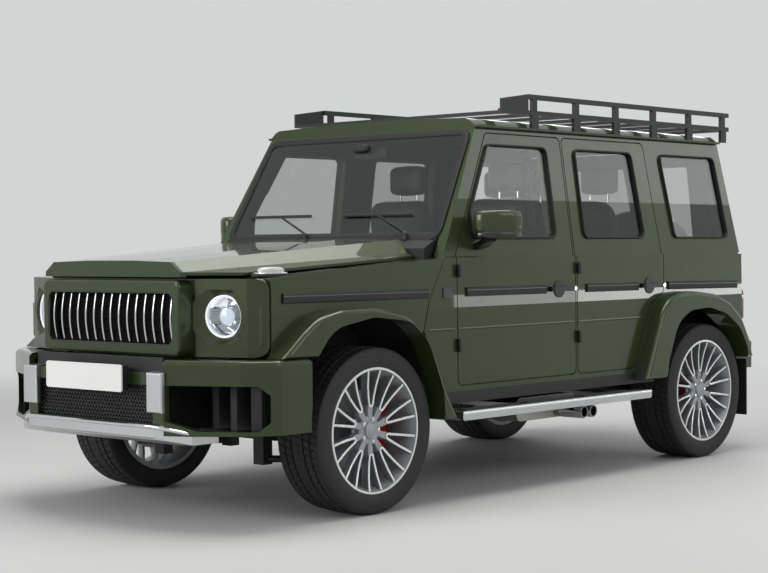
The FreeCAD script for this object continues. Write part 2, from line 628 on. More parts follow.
def side_door(name, points, window, hinge_x, rear_x):
    """Make one left door with its glass, and the openings that it leaves in the body side."""
    outline = free_outline(name + "_outline", "XZ", points)
    glass_line = free_outline(name + "_window", "XZ", window)
    whole = side_prism(name + "_whole", outline)
    inner = side_prism(name + "_inner", grown(name + "_inner_line", outline, "-door_inset"))
    pane = side_prism(name + "_pane", glass_line)
    skin = shared(name + "_skin", whole, door_skin_layer)
    core = shared(name + "_core", inner, door_core_layer)
    handle = door_handle(name, f"{rear_x} + handle_inset")
    hinges = [hinge(f"{name}_hinge_{i}", hinge_x, z)
              for i, z in enumerate(("hinge_upper_z", "hinge_lower_z"))]
    panel = cut(name + "_panel", joined(name + "_solid", skin, core, handle, *hinges), pane)
    glass = shared(name + "_glass", pane, glass_layer)
    wide = side_prism(name + "_wide", grown(name + "_wide_line", outline, "seam"))
    tight = side_prism(name + "_tight", grown(name + "_tight_line", outline, "seam - door_inset"))
    return panel, glass, wide, tight


front_door, front_glass, front_wide, front_tight = side_door(
    "front_door", FRONT_DOOR, FRONT_WINDOW, "x_door_front + seam / 2", "x_front_door_rear")
rear_door, rear_glass, rear_wide, rear_tight = side_door(
    "rear_door", REAR_DOOR, REAR_WINDOW, "x_rear_door_front + seam / 2", "x_rear_door_rear")
node(front_door, "door_front_left")
node(mirrored("front_door_right", front_door), "door_front_right")
node(rear_door, "door_rear_left")
node(mirrored("rear_door_right", rear_door), "door_rear_right")
node(front_glass, "glass_front_left")
node(mirrored("front_glass_right", front_glass), "glass_front_right")
node(rear_glass, "glass_rear_left")
node(mirrored("rear_glass_right", rear_glass), "glass_rear_right")

SIDE_OUTLINE = [
    ("x_sill_front", "sill_z"), ("x_flare_seam", "flare_seam_z"), ("x_wing_seam", "wing_seam_z"),
    ("x_cowl", "belt_z"), (screen_x("drip_z"), "drip_z"), ("rear_top_x", "drip_z"),
    ("x_rear", "belt_z"), ("x_rear", "rear_low_z"), ("axle_r", "rear_low_z"),
    ("axle_r", "sill_z")]
side_outline = free_outline("side_outline", "XZ", SIDE_OUTLINE)
side_whole = side_prism("side_whole", side_outline)
quarter_pane = side_prism("quarter_pane", free_outline("quarter_line", "XZ", QUARTER_WINDOW))
rear_arch = slab("rear_arch", "XZ", arch_points("axle_r", REAR_ARCH_SHARES), "tub_half",
                 "flare_half + overrun")
skin_panel = cut("skin_panel", shared("skin_whole", side_whole, side_skin), front_wide, rear_wide)
core_panel = cut("core_panel", shared("core_whole", side_whole, side_core), front_tight,
                 rear_tight)
rear_flare = cut("rear_flare", slab(
    "rear_flare_solid", "XZ", arch_points("axle_r", REAR_FLARE_SHARES), "body_half - skin",
    "flare_half", at_end("Y", "flare_half"), "flare_edge"), rear_arch)
left_side = cut("left_side", joined("left_side_solid", skin_panel, core_panel, rear_flare),
                quarter_pane, rear_arch)

# Fixed glass: a windscreen on the leaning frame, and a pane each side of the load space
screen_line = slab("screen_line", "XZ", [
    (screen_x("screen_low_z"), "screen_low_z"), (screen_x("screen_top_z"), "screen_top_z"),
    (screen_x("screen_top_z", "screen_thick"), "screen_top_z"),
    (screen_x("screen_low_z", "screen_thick"), "screen_low_z")], "-screen_half_low",
    "screen_half_low")
screen_face = slab("screen_face", "YZ", mirrored_points([
    ("screen_half_low", "screen_low_z", "window_corner"),
    ("screen_half_top", "screen_top_z", "window_corner")]), "axle_r", "x_front")
quarter_glass = shared("quarter_glass", quarter_pane, glass_layer)
node(group("fixed_panes", shared("windscreen", screen_line, screen_face), quarter_glass,
           mirrored("quarter_glass_right", quarter_glass)), "fixed_glass")

# Roof: one crowned skin with drip rails, and a header above the screen and above the gate
roof_skin = slab("roof_skin_body", "YZ", mirrored_points([
    ("roof_half - side_wall", "drip_z"), ("rail_out", "drip_z"),
    ("rail_out", "drip_z + rail_high"), ("roof_half", "drip_z + rail_high"),
    ("roof_half - roof_edge", "roof_top - roof_edge / 3", "roof_edge * 2"),
    ("roof_half / 3", "roof_top")]) + [
        (f"-({y})", z) for y, z in (("roof_half - side_wall", "drip_z + rail_high"),
                                    ("roof_half / 3", "roof_top - roof_skin"))] + [
        ("roof_half / 3", "roof_top - roof_skin"),
        ("roof_half - side_wall", "drip_z + rail_high")],
    "rear_top_x", screen_x("drip_z"))
front_header = slab("front_header", "XZ", [
    (screen_x("header_low_z", "-header_deep"), "header_low_z"),
    (screen_x("header_low_z"), "header_low_z"), (screen_x("drip_z"), "drip_z"),
    (screen_x("drip_z"), "roof_top - roof_skin"),
    (screen_x("drip_z", "-header_deep"), "roof_top - roof_skin")],
    "-(roof_half - side_wall)", "roof_half - side_wall")
rear_header = block("rear_header", ("rear_top_x", "rear_top_x + header_deep"),
                    ("-(roof_half - side_wall)", "roof_half - side_wall"),
                    ("gate_top_z + seam", "drip_z + rail_high"))
node(joined("roof", roof_skin, front_header, rear_header), "roof_panel")

# Floor with bulkhead and rear wheel tubs
floor_plate = block("floor_plate", ("x_rear", "x_bulkhead"), ("-inner_half", "inner_half"),
                    ("floor_low", "floor_top"))
bulkhead = block("bulkhead", ("x_bulkhead - bulkhead_thick", "x_bulkhead"),
                 ("-cowl_half", "cowl_half"), ("floor_top", "cowl_top_z"))
tub = block("tub", ("x_rear + gate_wall + gutter", "axle_r + tub_reach"),
            ("tub_half - tub_wall", "inner_half"), ("floor_low", "tub_top"))
tub_room = block("tub_room", ("x_rear + gate_wall + gutter + tub_wall",
                              "axle_r + tub_reach - tub_wall"),
                 ("tub_half", "inner_half + overrun"), ("floor_low - overrun", "tub_top - tub_wall"))
deck = block("load_deck", ("axle_r - deck_behind", "axle_r + deck_ahead"),
             ("-deck_half", "deck_half"), ("floor_top", "floor_top + deck_rise"))
node(cut("floor", joined("floor_solid", floor_plate, bulkhead, deck, tub,
                         mirrored("tub_right", tub)),
         tub_room, mirrored("tub_room_right", tub_room)), "floor_pan")

# Cowl below the screen
cowl = slab("cowl", "XZ", [
    ("x_bulkhead", "cowl_low_z"), (screen_x("belt_z", "cowl_front"), "cowl_low_z"),
    (screen_x("belt_z", "cowl_front"), "cowl_shelf_z"),
    (screen_x("screen_low_z", "screen_thick * 3"), "screen_low_z"),
    (screen_x("screen_low_z"), "screen_low_z"), (screen_x("cowl_top_z"), "cowl_top_z"),
    ("x_bulkhead", "cowl_top_z")], "-cowl_half", "cowl_half")
hood_lugs = []
for i, side in enumerate(("+", "-")):
    near = f"hood_hinge_y {side} (hinge_length / 2 + bearing_gap)"
    span = (near, f"{near} + lug_wide") if side == "+" else (f"{near} - lug_wide", near)
    hood_lugs += [rod(f"hood_lug_{i}", "Y", ("x_hood_hinge", "hood_hinge_z"), "hinge_radius",
                      *span),
                  block(f"hood_lug_foot_{i}", ("x_hood_hinge - hinge_radius",
                                               "x_hood_hinge + hinge_radius"),
                        span, ("cowl_shelf_z - lug_wide", "hood_hinge_z"))]
hood_lug_pair = joined("hood_lug_pair", *hood_lugs)
node(joined("cowl_whole", cowl, hood_lug_pair, mirrored("hood_lugs_right", hood_lug_pair)),
     "cowl_panel")

# Ladder frame, with its members cut round the gearbox
box_front = "axle_f - engine_long + engine_front"
gearbox = block("gearbox", (f"{box_front} - box_long", box_front), ("-box_half", "box_half"),
                ("box_low", "box_top"))
rail = block("rail", ("x_rear + gate_wall", "x_bumper - bumper_wall - mesh_thick"),
             ("rail_inner", "rail_outer"),
             ("rail_low", "floor_low"))


def member(i):
    """Make one cross-member; they share out the frame's length."""
    centre = f"x_rear + gate_wall + member_long / 2 + {i} * (x_rail - x_rear - gate_wall" \
             " - member_long) / (member_count - 1)"
    return block(f"member_{i}", (f"{centre} - member_long / 2", f"{centre} + member_long / 2"),
                 ("-rail_inner", "rail_inner"), ("rail_low", "engine_low"))


# Rails and cross-members meet face to face, and each rail carries a towing eye at its rear
eye_plate = block("eye_plate", ("x_rear - tow_reach", "x_rear + tow_root"),
                  ("rail_middle - tow_thick / 2", "rail_middle + tow_thick / 2"),
                  ("tow_low", "rail_low"))
eye_hole = rod("eye_hole", "Y", ("x_rear - tow_hole_back", "tow_hole_z"), "tow_hole_radius",
               "rail_middle - tow_thick", "rail_middle + tow_thick")
jack_pad = block("jack_pad", ("axle_f - jack_back - jack_long / 2",
                              "axle_f - jack_back + jack_long / 2"),
                 ("rail_middle - jack_wide / 2", "rail_middle + jack_wide / 2"),
                 ("rail_low - jack_drop", "rail_low"))
rail_solid = joined("rail_with_eye", rail, jack_pad, cut("towing_eye", eye_plate, eye_hole))
node(group("ladder", rail_solid, mirrored("rail_right", rail_solid),
           *[cut(f"member_cut_{i}", member(i), gearbox)
             for i in range(int(number("member_count")))]), "frame_rails")

# Front wings: an outer panel with its flare and a shelf beside the bonnet
front_arch = slab("front_arch", "XZ", arch_points("axle_f", FRONT_ARCH_SHARES), "rail_outer",
                  "flare_half + overrun")
wing_outline = slab("wing_outline", "XZ", [
    ("x_cowl + seam", "belt_z"), ("x_wing_seam + seam", "wing_seam_z"),
    ("x_flare_seam + seam", "flare_seam_z"), ("x_flare_seam + seam + overrun", "crease_z"),
    ("x_wing", "bumper_top_z + seam"), ("x_wing", "wing_front_z")],
    "body_half - wing_thick", "body_half")
wing_shelf = slab("wing_shelf", "XZ", [
    ("x_cowl + seam", "belt_z"), ("x_wing", "wing_front_z"),
    ("x_wing", "wing_front_z - shelf_thick"),
    ("x_cowl + seam + shelf_thick", "belt_z - shelf_thick")],
    "shelf_half", "body_half - wing_thick")
front_flare = slab("front_flare", "XZ", arch_points("axle_f", FRONT_FLARE_SHARES),
                   "body_half - wing_thick", "flare_half", at_end("Y", "flare_half"),
                   "flare_edge")
left_wing = cut("left_wing", joined("left_wing_solid", wing_outline, wing_shelf, front_flare),
                front_arch, cowl)
node(pair("wings", left_wing), "front_wings")

# Inner liners over the front wheels, and mud flaps behind the rear wheels
LINER_SHARES = [(-0.92, 0.42), (-0.90, 0.45), (-0.72, 0.80), (-0.35, 1.09), (0.50, 1.09),
                (0.88, 0.80), (0.88, 0.42)]
liner_outer = slab("liner_solid", "XZ", [
    (f"axle_f + arch_radius * ({x})", f"tyre_radius + arch_radius * ({z})")
    for x, z in LINER_SHARES], "liner_inner - liner_thick", "body_half - wing_thick")
liner_room = slab("liner_room", "XZ", [
    (f"axle_f + (arch_radius - liner_thick) * ({x})",
     f"tyre_radius + (arch_radius - liner_thick) * ({z}) - liner_thick")
    for x, z in LINER_SHARES], "liner_inner", "body_half + overrun")
liner = cut("liner", liner_outer, liner_room)
flap = block("flap", ("x_rear - flap_thick + flap_gap", "x_rear + flap_gap"),
             ("body_half - flap_wide", "body_half + flap_out"), ("flap_low", "rear_low_z"))
node(group("liners", liner, mirrored("liner_right", liner), flap,
           mirrored("flap_right", flap)), "arch_liners")

# Nose: lamp panels that sweep back, and the grille surround that stands ahead of them


def nose_plan(name, inset, low, high):
    """Pad the nose's plan outline, drawn in from its outer face by an inset."""
    return slab(name, "XY", [
        (x, y, "nose_ridge_round") if "ridge" in y else (x, y) for x, y in (
            ("x_wing + seam", f"-(nose_half - ({inset}))"),
            (f"x_nose - nose_sweep - ({inset})", f"-(nose_ridge_half - ({inset}))"),
            (f"x_nose - ({inset})", f"-(nose_flat_half - ({inset}) / 2)"),
            (f"x_nose - ({inset})", f"nose_flat_half - ({inset}) / 2"),
            (f"x_nose - nose_sweep - ({inset})", f"nose_ridge_half - ({inset})"),
            ("x_wing + seam", f"nose_half - ({inset})"))], low, high)


nose_face = slab("nose_face", "YZ", mirrored_points([
    ("nose_half", "nose_low_z", "nose_corner"), ("nose_half", "wing_front_z", "nose_corner")]),
    "x_wing + seam", "x_nose + seam")
nose_form = shared("nose_form", nose_face,
                   nose_plan("nose_outer", "0", "nose_low_z", "wing_front_z"))
nose_room = nose_plan("nose_room", "nose_wall", "nose_low_z - overrun",
                      "wing_front_z - nose_wall")
surround = slab("surround", "YZ", mirrored_points([
    ("surround_half", "surround_low_z", "surround_corner"),
    ("surround_half", "surround_top_z", "surround_corner")]), "x_nose - nose_wall",
    "x_surround", at_end("X", "x_surround"), "flare_edge / 2")
grille_hole = slab("grille_hole", "YZ", mirrored_points([
    ("grille_half", "grille_low_z", "grille_corner"),
    ("grille_half", "grille_top_z", "grille_corner")]), "x_nose - nose_wall - overrun",
    "x_surround + overrun")

# Each lamp sits in an eight-sided recess, whose floor is upright where the panel sweeps back
OCTAGON_SHARES = [(0.9, 0.35), (0.5, 0.93), (-0.55, 0.93), (-1.08, 0.45),
                  (-1.08, -0.45), (-0.55, -0.93), (0.5, -0.93), (0.9, -0.35)]


def octagon(name, room, start, stop):
    """Pad the recess's outline at one size between two places."""
    return slab(name, "YZ", [(f"lamp_y + ({room}) * ({y})", f"lamp_z + ({room}) * ({z})")
                             for y, z in OCTAGON_SHARES], start, stop)


lamp_house = shared("lamp_house", octagon(
    "lamp_house_whole", "lamp_room + lamp_house_wall", "x_lamp - lamp_house", "x_nose + seam"),
    nose_form)
lamp_room = octagon("lamp_room_cut", "lamp_room", "x_lamp - lamp_floor", "x_nose + overrun")
lamp_hole = rod("lamp_hole", "X", ("lamp_y", "lamp_z"), "lamp_radius + bearing_gap",
                "x_lamp - lamp_house - overrun", "x_nose + overrun")
nose_tab = block("nose_tab", ("x_wing - tab_reach", "x_wing + seam + tab_reach"),
                 ("nose_half - nose_wall - tab_thick", "body_half - wing_thick"),
                 ("crease_z", "wing_seam_z"))
node(cut("nose", joined("nose_solid", cut("nose_shell", nose_form, nose_room), surround,
                        lamp_house, mirrored("lamp_house_right", lamp_house),
                        nose_tab, mirrored("nose_tab_right", nose_tab)),
         grille_hole, lamp_room, mirrored("lamp_room_right", lamp_room), lamp_hole,
         mirrored("lamp_hole_right", lamp_hole)), "nose_panel")


def slat(i):
    """Make one upright grille slat, bowed forwards in side view."""
    centre = f"-grille_half + 2 * grille_half * ({i} + 0.5) / slat_count"
    face, back = "x_surround - grille_depth / 2", "x_surround - grille_depth / 2 - slat_deep"
    middle = "(grille_low_z + grille_top_z) / 2"
    return slab(f"slat_{i}", "XZ", [
        (back, "grille_low_z"), (face, "grille_low_z"), (f"{face} + slat_bow", middle),
        (face, "grille_top_z"), (back, "grille_top_z")],
        f"{centre} - slat_wide / 2", f"{centre} + slat_wide / 2")


def slat_carrier(name, z):
    """Make one cross rail behind the slats."""
    return block(name, ("x_surround - grille_depth / 2 - slat_deep - slat_rail",
                        "x_surround - grille_depth / 2 - slat_deep"),
                 ("-grille_half", "grille_half"), (f"{z} - slat_rail / 2", f"{z} + slat_rail / 2"))


node(shared("slats_trimmed", joined("slats", slat_carrier("slat_low", "grille_low_z + grille_corner"),
            slat_carrier("slat_high", "grille_top_z - grille_corner"),
            *[slat(i) for i in range(int(number("slat_count")))]), grille_hole), "grille")
radiator = block("radiator", ("x_radiator", "x_radiator + radiator_thick"),
                 ("-radiator_half", "radiator_half"), ("floor_low", "radiator_top"))

# Round headlamps: a bucket closed by its lens, with a ring round it
bucket = rod("bucket", "X", ("lamp_y", "lamp_z"), "lamp_radius", "x_lamp - lamp_depth",
             "x_lamp - nose_wall / 3")
lamp_ring = rod("lamp_ring_outer", "X", ("lamp_y", "lamp_z"), "lamp_radius",
                "x_lamp - nose_wall / 3", "x_lamp")
ring_hole = rod("lamp_ring_hole", "X", ("lamp_y", "lamp_z"), "lamp_radius - lamp_ring",
                "x_lamp - nose_wall / 3", "x_lamp + overrun")
lamp = joined("lamp", bucket, cut("lamp_bezel", lamp_ring, ring_hole))
node(pair("lamps", lamp), "headlamps")

# Indicator housings on the wing tops
turret_z = "wing_front_z + (belt_z - wing_front_z) * (fore_wing - fore_turret)" \
           " / (fore_wing + at_cowl)"
turret = slab("turret", "XZ", [
    ("x_turret - turret_long", f"{turret_z} + (belt_z - wing_front_z) * turret_long"
     " / (fore_wing + at_cowl)"),
    ("x_turret", turret_z), ("x_turret - turret_long / 3", f"{turret_z} + turret_high", "lamp_ring"),
    ("x_turret - turret_long * turret_top_share", f"{turret_z} + turret_high", "lamp_ring")],
    "turret_y - turret_wide / 2", "turret_y + turret_wide / 2")
turret_seated = cut("turret_seated", turret, wing_shelf)

# Bonnet: a raised centre that widens towards the screen, lofted between two sections
def bonnet_section(body, name, x, raise_half, top, step, depth):
    """Draw one cross-section of the bonnet at a place along the car."""
    sketch = body.newObject("Sketcher::SketchObject", name)
    sketch.AttachmentSupport = [(plane_of(body, "YZ"), "")]
    sketch.MapMode = "FlatFace"
    bind(sketch, AttachmentOffset__Base__z=x)
    edge_z = f"{top} - {step} - bonnet_bow"
    upper = [("bonnet_half", edge_z), (f"{raise_half} + raise_slope", f"{top} - {step}"),
             (raise_half, top), (f"{raise_half} * bow_share", f"{top} + bonnet_bow / 2")]
    lower = [(half, f"{z} - ({depth})") for half, z in upper]
    right = [(f"-({half})", z) for half, z in reversed(upper)]
    right_low = [(f"-({half})", z) for half, z in lower]
    draw(sketch, upper + right + right_low + list(reversed(lower)))
    return sketch


bonnet_body = doc.addObject("PartDesign::Body", "bonnet_skin")
bonnet_rear = bonnet_section(bonnet_body, "bonnet_rear_section", "x_bonnet_rear",
                             "raise_half_rear", "bonnet_rear_z", "raise_rear", "bonnet_thick")
bonnet_front = bonnet_section(bonnet_body, "bonnet_front_section",
                              "x_bonnet - bonnet_lip", "raise_half_front", "bonnet_front_z",
                              "raise_front", "bonnet_thick")
bonnet_loft = bonnet_body.newObject("PartDesign::AdditiveLoft", "bonnet_loft")
bonnet_loft.Profile = bonnet_rear
bonnet_loft.Sections = [bonnet_front]
bonnet_loft.Ruled = True
bonnet_nose = slab("bonnet_nose", "YZ", mirrored_points([
    ("raise_half_front * bow_share", "bonnet_front_z + bonnet_bow / 2"),
    ("raise_half_front", "bonnet_front_z"),
    ("raise_half_front + raise_slope", "bonnet_front_z - raise_front"),
    ("bonnet_half", "bonnet_front_z - raise_front - bonnet_bow"),
    ("bonnet_half", "bonnet_lip_z")])[::-1], "x_bonnet - bonnet_lip", "x_bonnet")
hood_barrel = rod("hood_barrel", "Y", ("x_hood_hinge", "hood_hinge_z"), "hinge_radius",
                  "hood_hinge_y - hinge_length / 2", "hood_hinge_y + hinge_length / 2")
hood_arm = block("hood_arm", ("x_hood_hinge", "x_bonnet_rear + hood_arm_long"),
                 ("hood_hinge_y - hood_arm_half", "hood_hinge_y + hood_arm_half"),
                 ("hood_hinge_z - hinge_radius", "bonnet_rear_z - bonnet_thick / 2"))
hood_hinge = joined("hood_hinge", hood_barrel, hood_arm)
bonnet_corner = slab("bonnet_corner", "XY", [
    ("x_bonnet", "raise_half_front + raise_slope"),
    ("x_bonnet + overrun", "raise_half_front + raise_slope"),
    ("x_bonnet + overrun", "bonnet_half + overrun"),
    ("x_bonnet - bonnet_sweep", "bonnet_half + overrun"),
    ("x_bonnet - bonnet_sweep", "bonnet_half")], "bonnet_lip_z - overrun",
    "bonnet_front_z + overrun")
node(cut("bonnet_swept", joined("bonnet_solid", bonnet_body, bonnet_nose, hood_hinge,
                                mirrored("hood_hinge_right", hood_hinge)),
         bonnet_corner, mirrored("bonnet_corner_right", bonnet_corner)), "bonnet")

# Front bumper: a hollow shell with a centre opening and two side intakes
bumper_plan = slab("bumper_plan", "XY", [
    ("axle_f + bumper_rear", "-bumper_half"), ("x_corner", "-bumper_half", "bumper_corner"),
    ("x_shoulder", "-bumper_shoulder_half", "bumper_corner"),
    ("x_bumper", "-bumper_centre_half"), ("x_bumper", "bumper_centre_half"),
    ("x_shoulder", "bumper_shoulder_half", "bumper_corner"),
    ("x_corner", "bumper_half", "bumper_corner"), ("axle_f + bumper_rear", "bumper_half")],
    "bumper_low_z", "bumper_top_z", at_end("Z", "bumper_top_z"), "bumper_edge")
bumper_room = slab("bumper_room", "XY", [
    ("axle_f + bumper_rear - overrun", "-(bumper_half - bumper_wall)"),
    ("x_corner", "-(bumper_half - bumper_wall)"),
    ("x_shoulder - bumper_wall", "-(bumper_shoulder_half - bumper_wall)"),
    ("x_bumper - bumper_wall", "-bumper_centre_half"),
    ("x_bumper - bumper_wall", "bumper_centre_half"),
    ("x_shoulder - bumper_wall", "bumper_shoulder_half - bumper_wall"),
    ("x_corner", "bumper_half - bumper_wall"),
    ("axle_f + bumper_rear - overrun", "bumper_half - bumper_wall")],
    "bumper_low_z - overrun", "bumper_top_z - bumper_wall")
centre_hole = block("centre_hole", ("x_bumper - bumper_wall - overrun", "x_bumper + overrun"),
                    ("-centre_half", "centre_half"), ("centre_low_z", "centre_top_z"))
intake = slab("intake", "YZ", [
    ("intake_inner", "intake_low_z + intake_corner"),
    ("intake_inner + intake_slope", "intake_low_z"),
    ("intake_outer - intake_corner", "intake_low_z"),
    ("intake_outer", "intake_low_z + intake_corner"),
    ("intake_outer", "intake_top_z - intake_corner"),
    ("intake_outer - intake_corner", "intake_top_z"), ("intake_inner", "intake_top_z")],
    "x_corner - overrun", "x_bumper + overrun")
centre_step = block("centre_step", ("x_nose - nose_wall", "x_bumper + overrun"),
                    ("-bumper_centre_half", "bumper_centre_half"),
                    ("centre_step_z", "bumper_top_z + overrun"))
bumper_undercut = slab("bumper_undercut", "YZ", [
    ("skid_kink", "bumper_low_z - overrun"), ("skid_kink", "bumper_low_z"),
    ("bumper_half + overrun", "intake_low_z - bumper_wall / 2"),
    ("bumper_half + overrun", "bumper_low_z - overrun")],
    "axle_f + bumper_rear - overrun", "x_bumper + overrun")
bumper_well = block("bumper_well", ("axle_f + bumper_rear - overrun", "x_nose - nose_wall"),
                    ("-(shelf_half + overrun)", "shelf_half + overrun"),
                    ("bumper_top_z - bumper_wall * 2", "bumper_top_z + overrun"))
bumper_shell = cut("bumper_shell", bumper_plan, bumper_room, bumper_well, centre_step,
                   centre_hole, intake,
                   mirrored("intake_right", intake), front_arch,
                   mirrored("front_arch_right", front_arch), bumper_undercut,
                   mirrored("bumper_undercut_right", bumper_undercut))
node(bumper_shell, "front_bumper")


def fin(i):
    """Make one upright fin of a side intake."""
    centre = f"intake_inner + (intake_outer - intake_inner) * ({i} + 1) / (fin_count + fin_space_share)"
    return block(f"fin_{i}", ("x_corner - fin_back", "x_corner - fin_back + fin_deep"),
                 (f"{centre} - fin_thick / 2", f"{centre} + fin_thick / 2"),
                 ("intake_low_z", "intake_top_z"))


intake_back = block("intake_back", ("x_corner - fin_back - mesh_thick", "x_corner - fin_back"),
                    ("rail_outer", "bumper_half - bumper_wall"),
                    ("intake_low_z", "intake_top_z"))
intake_grille = shared("intake_grille", joined(
    "intake_fins", intake_back, *[fin(i) for i in range(int(number("fin_count")))]), bumper_room)
centre_mesh = block("centre_mesh", ("x_bumper - bumper_wall - mesh_thick",
                                    "x_bumper - bumper_wall"),
                    ("-(bumper_centre_half - bumper_wall)", "bumper_centre_half - bumper_wall"),
                    ("bumper_low_z", "surround_low_z"))
plate_holder = block("plate_holder", ("x_bumper", "x_front - plate_thick"),
                     ("-plate_half * plate_share", "plate_half * plate_share"),
                     ("plate_low_z + plate_thick", "plate_low_z + plate_high - plate_thick"))
node(group("grilles", centre_mesh, plate_holder, intake_grille,
           mirrored("intake_grille_right", intake_grille)), "bumper_grille")

# Silver skid plate under the bumper, with the two upright strips beside the centre
skid_front = slab("skid_front", "YZ", mirrored_points([
    ("skid_half * plate_share", "skid_low_z"), ("skid_kink", "skid_kink_z - skid_thick"),
    ("skid_kink", "bumper_low_z"), ("skid_half", "bumper_low_z")]), "x_bumper - skid_back",
    "x_bumper")
skid_apron = slab("skid_apron", "YZ", mirrored_points([
    ("skid_half", "skid_kink_z"), ("skid_half", "skid_top_z")]), "x_bumper",
    "x_bumper + skid_proud", at_end("X", "x_bumper + skid_proud"), "lamp_ring")
skid_slope = slab("skid_slope", "XZ", [
    ("x_bumper - skid_back - overrun", "skid_low_z - overrun"),
    ("x_bumper + overrun", "skid_low_z - overrun"),
    ("x_bumper + overrun", "skid_kink_z"), ("x_bumper + skid_proud", "skid_kink_z"),
    ("x_bumper - skid_back / 2", "skid_low_z"), ("x_bumper - skid_back - overrun", "skid_low_z")],
    "-bumper_half", "bumper_half")
strip = slab("strip", "YZ", [
    ("strip_half", "strip_low_z"), ("strip_half + strip_wide", "strip_low_z"),
    ("strip_half + strip_wide", "strip_top_z"), ("strip_half", "strip_top_z")],
    "x_bumper", "x_bumper + strip_thick", at_end("X", "x_bumper + strip_thick"), "lamp_ring")
skid_corner = slab("skid_corner", "XY", [
    ("x_bumper - skid_sweep", "skid_kink"),
    ("x_bumper + skid_proud", "skid_half - skid_proud * 2"),
    ("x_bumper + overrun", "skid_half - skid_proud * 2"), ("x_bumper + overrun", "skid_kink + seam"),
    ("x_bumper - skid_sweep", "skid_kink + seam")], "skid_low_z - overrun",
    "skid_top_z + overrun")
skid = cut("skid", joined("skid_solid", skid_front, skid_apron), skid_slope, skid_corner,
           mirrored("skid_corner_right", skid_corner))
node(group("silver", skid, strip, mirrored("strip_right", strip)), "skid_plate")

# Tailgate on side hinges, with its window and the spare wheel that it carries


def gate_prism(name, start, stop, inset="0"):
    """Pad the tailgate's outline between two depths from the rear face."""
    return slab(name, "YZ", mirrored_points([
        (f"gate_half - ({inset})", f"gate_low_z + ({inset})", "gate_corner"),
        (f"gate_half - ({inset})", f"gate_top_z - ({inset})", "gate_corner")]), start, stop)


gate_window = slab("gate_window", "YZ", mirrored_points([
    ("gate_glass_half", "gate_glass_low", "window_corner"),
    ("gate_glass_half", "gate_glass_top", "window_corner")]), "x_rear - overrun",
    "x_rear + gate_wall + overrun + rear_lean")
gate_lean = slab("gate_lean", "XZ", [
    ("x_rear", "gate_low_z - overrun"), ("x_rear", "belt_z"), ("rear_top_x", "drip_z"),
    ("rear_top_x + gate_wall", "drip_z"), ("x_rear + gate_wall", "belt_z"),
    ("x_rear + gate_wall", "gate_low_z - overrun")], "-gate_half", "gate_half")
gate_glass_lean = slab("gate_glass_lean", "XZ", [
    ("x_rear + glass_sink", "belt_z"), ("rear_top_x + glass_sink", "drip_z"),
    ("rear_top_x + glass_sink + glass_thick", "drip_z"),
    ("x_rear + glass_sink + glass_thick", "belt_z")], "-gate_half", "gate_half")
gate_face = gate_prism("gate_face", "x_rear - overrun", "x_rear + rear_lean + gate_wall * 2")
gate_panel = cut("gate_panel", shared("gate_whole", gate_face, gate_lean), gate_window)
gate_hinge_y = "-(gate_half + gutter / 2)"
gate_hinges = [joined(
    f"gate_hinge_{i}",
    rod(f"gate_barrel_{i}", "Z", ("x_rear - gate_hinge_out", gate_hinge_y), "hinge_radius",
        f"{z} - hinge_length / 2", f"{z} + hinge_length / 2"),
    block(f"gate_leaf_{i}", ("x_rear - gate_hinge_out", "x_rear"),
          (gate_hinge_y, f"{gate_hinge_y} + hinge_length"),
          (f"{z} - hinge_length / 3", f"{z} + hinge_length / 3")))
    for i, z in enumerate(("hinge_upper_z", "hinge_lower_z"))]
carrier = rod("carrier", "X", ("0", "spare_z"), "carrier_radius", "x_rear - spare_gap", "x_rear")
node(joined("gate", gate_panel, carrier, *gate_hinges), "tailgate")
node(shared("gate_glass", gate_window, gate_glass_lean), "tailgate_glass")
spare_body = doc.addObject("PartDesign::Body", "spare")
spare_sketch = spare_body.newObject("Sketcher::SketchObject", "spare_profile")
spare_sketch.AttachmentSupport = [(plane_of(spare_body, "XZ"), "")]
spare_sketch.MapMode = "FlatFace"
draw(spare_sketch, [
    ("0", "0"), ("0", "spare_radius - spare_edge"), ("-spare_edge", "spare_radius"),
    ("-(spare_depth - spare_edge)", "spare_radius"),
    ("-spare_depth", "spare_radius - spare_edge"), ("-spare_depth", "spare_disc"),
    ("-(spare_depth - spare_sink)", "spare_disc - spare_sink"),
    ("-(spare_depth - spare_sink)", "0")])
spare_turn = spare_body.newObject("PartDesign::Revolution", "spare_turn")
spare_turn.Profile = spare_sketch
spare_turn.ReferenceAxis = (spare_sketch, ["H_Axis"])
spare_turn.Angle = 360
bind(spare_body, Placement__Base__x="x_rear - spare_gap", Placement__Base__z="spare_z")
node(spare_body, "spare_wheel")

gate_lugs = []
for i, z in enumerate(("hinge_upper_z", "hinge_lower_z")):
    for side in ("+", "-"):
        near = f"{z} {side} (hinge_length / 2 + bearing_gap)"
        low, high = (near, f"{near} + lug_wide") if side == "+" else (f"{near} - lug_wide", near)
        gate_lugs += [
            rod(f"gate_lug_{i}{side}", "Z", ("x_rear - gate_hinge_out", gate_hinge_y),
                "hinge_radius", low, high),
            block(f"gate_lug_leaf_{i}{side}", ("x_rear - gate_hinge_out", "x_rear"),
                  (f"{gate_hinge_y} - hinge_length", f"{gate_hinge_y} - gutter / 2"), (low, high))]

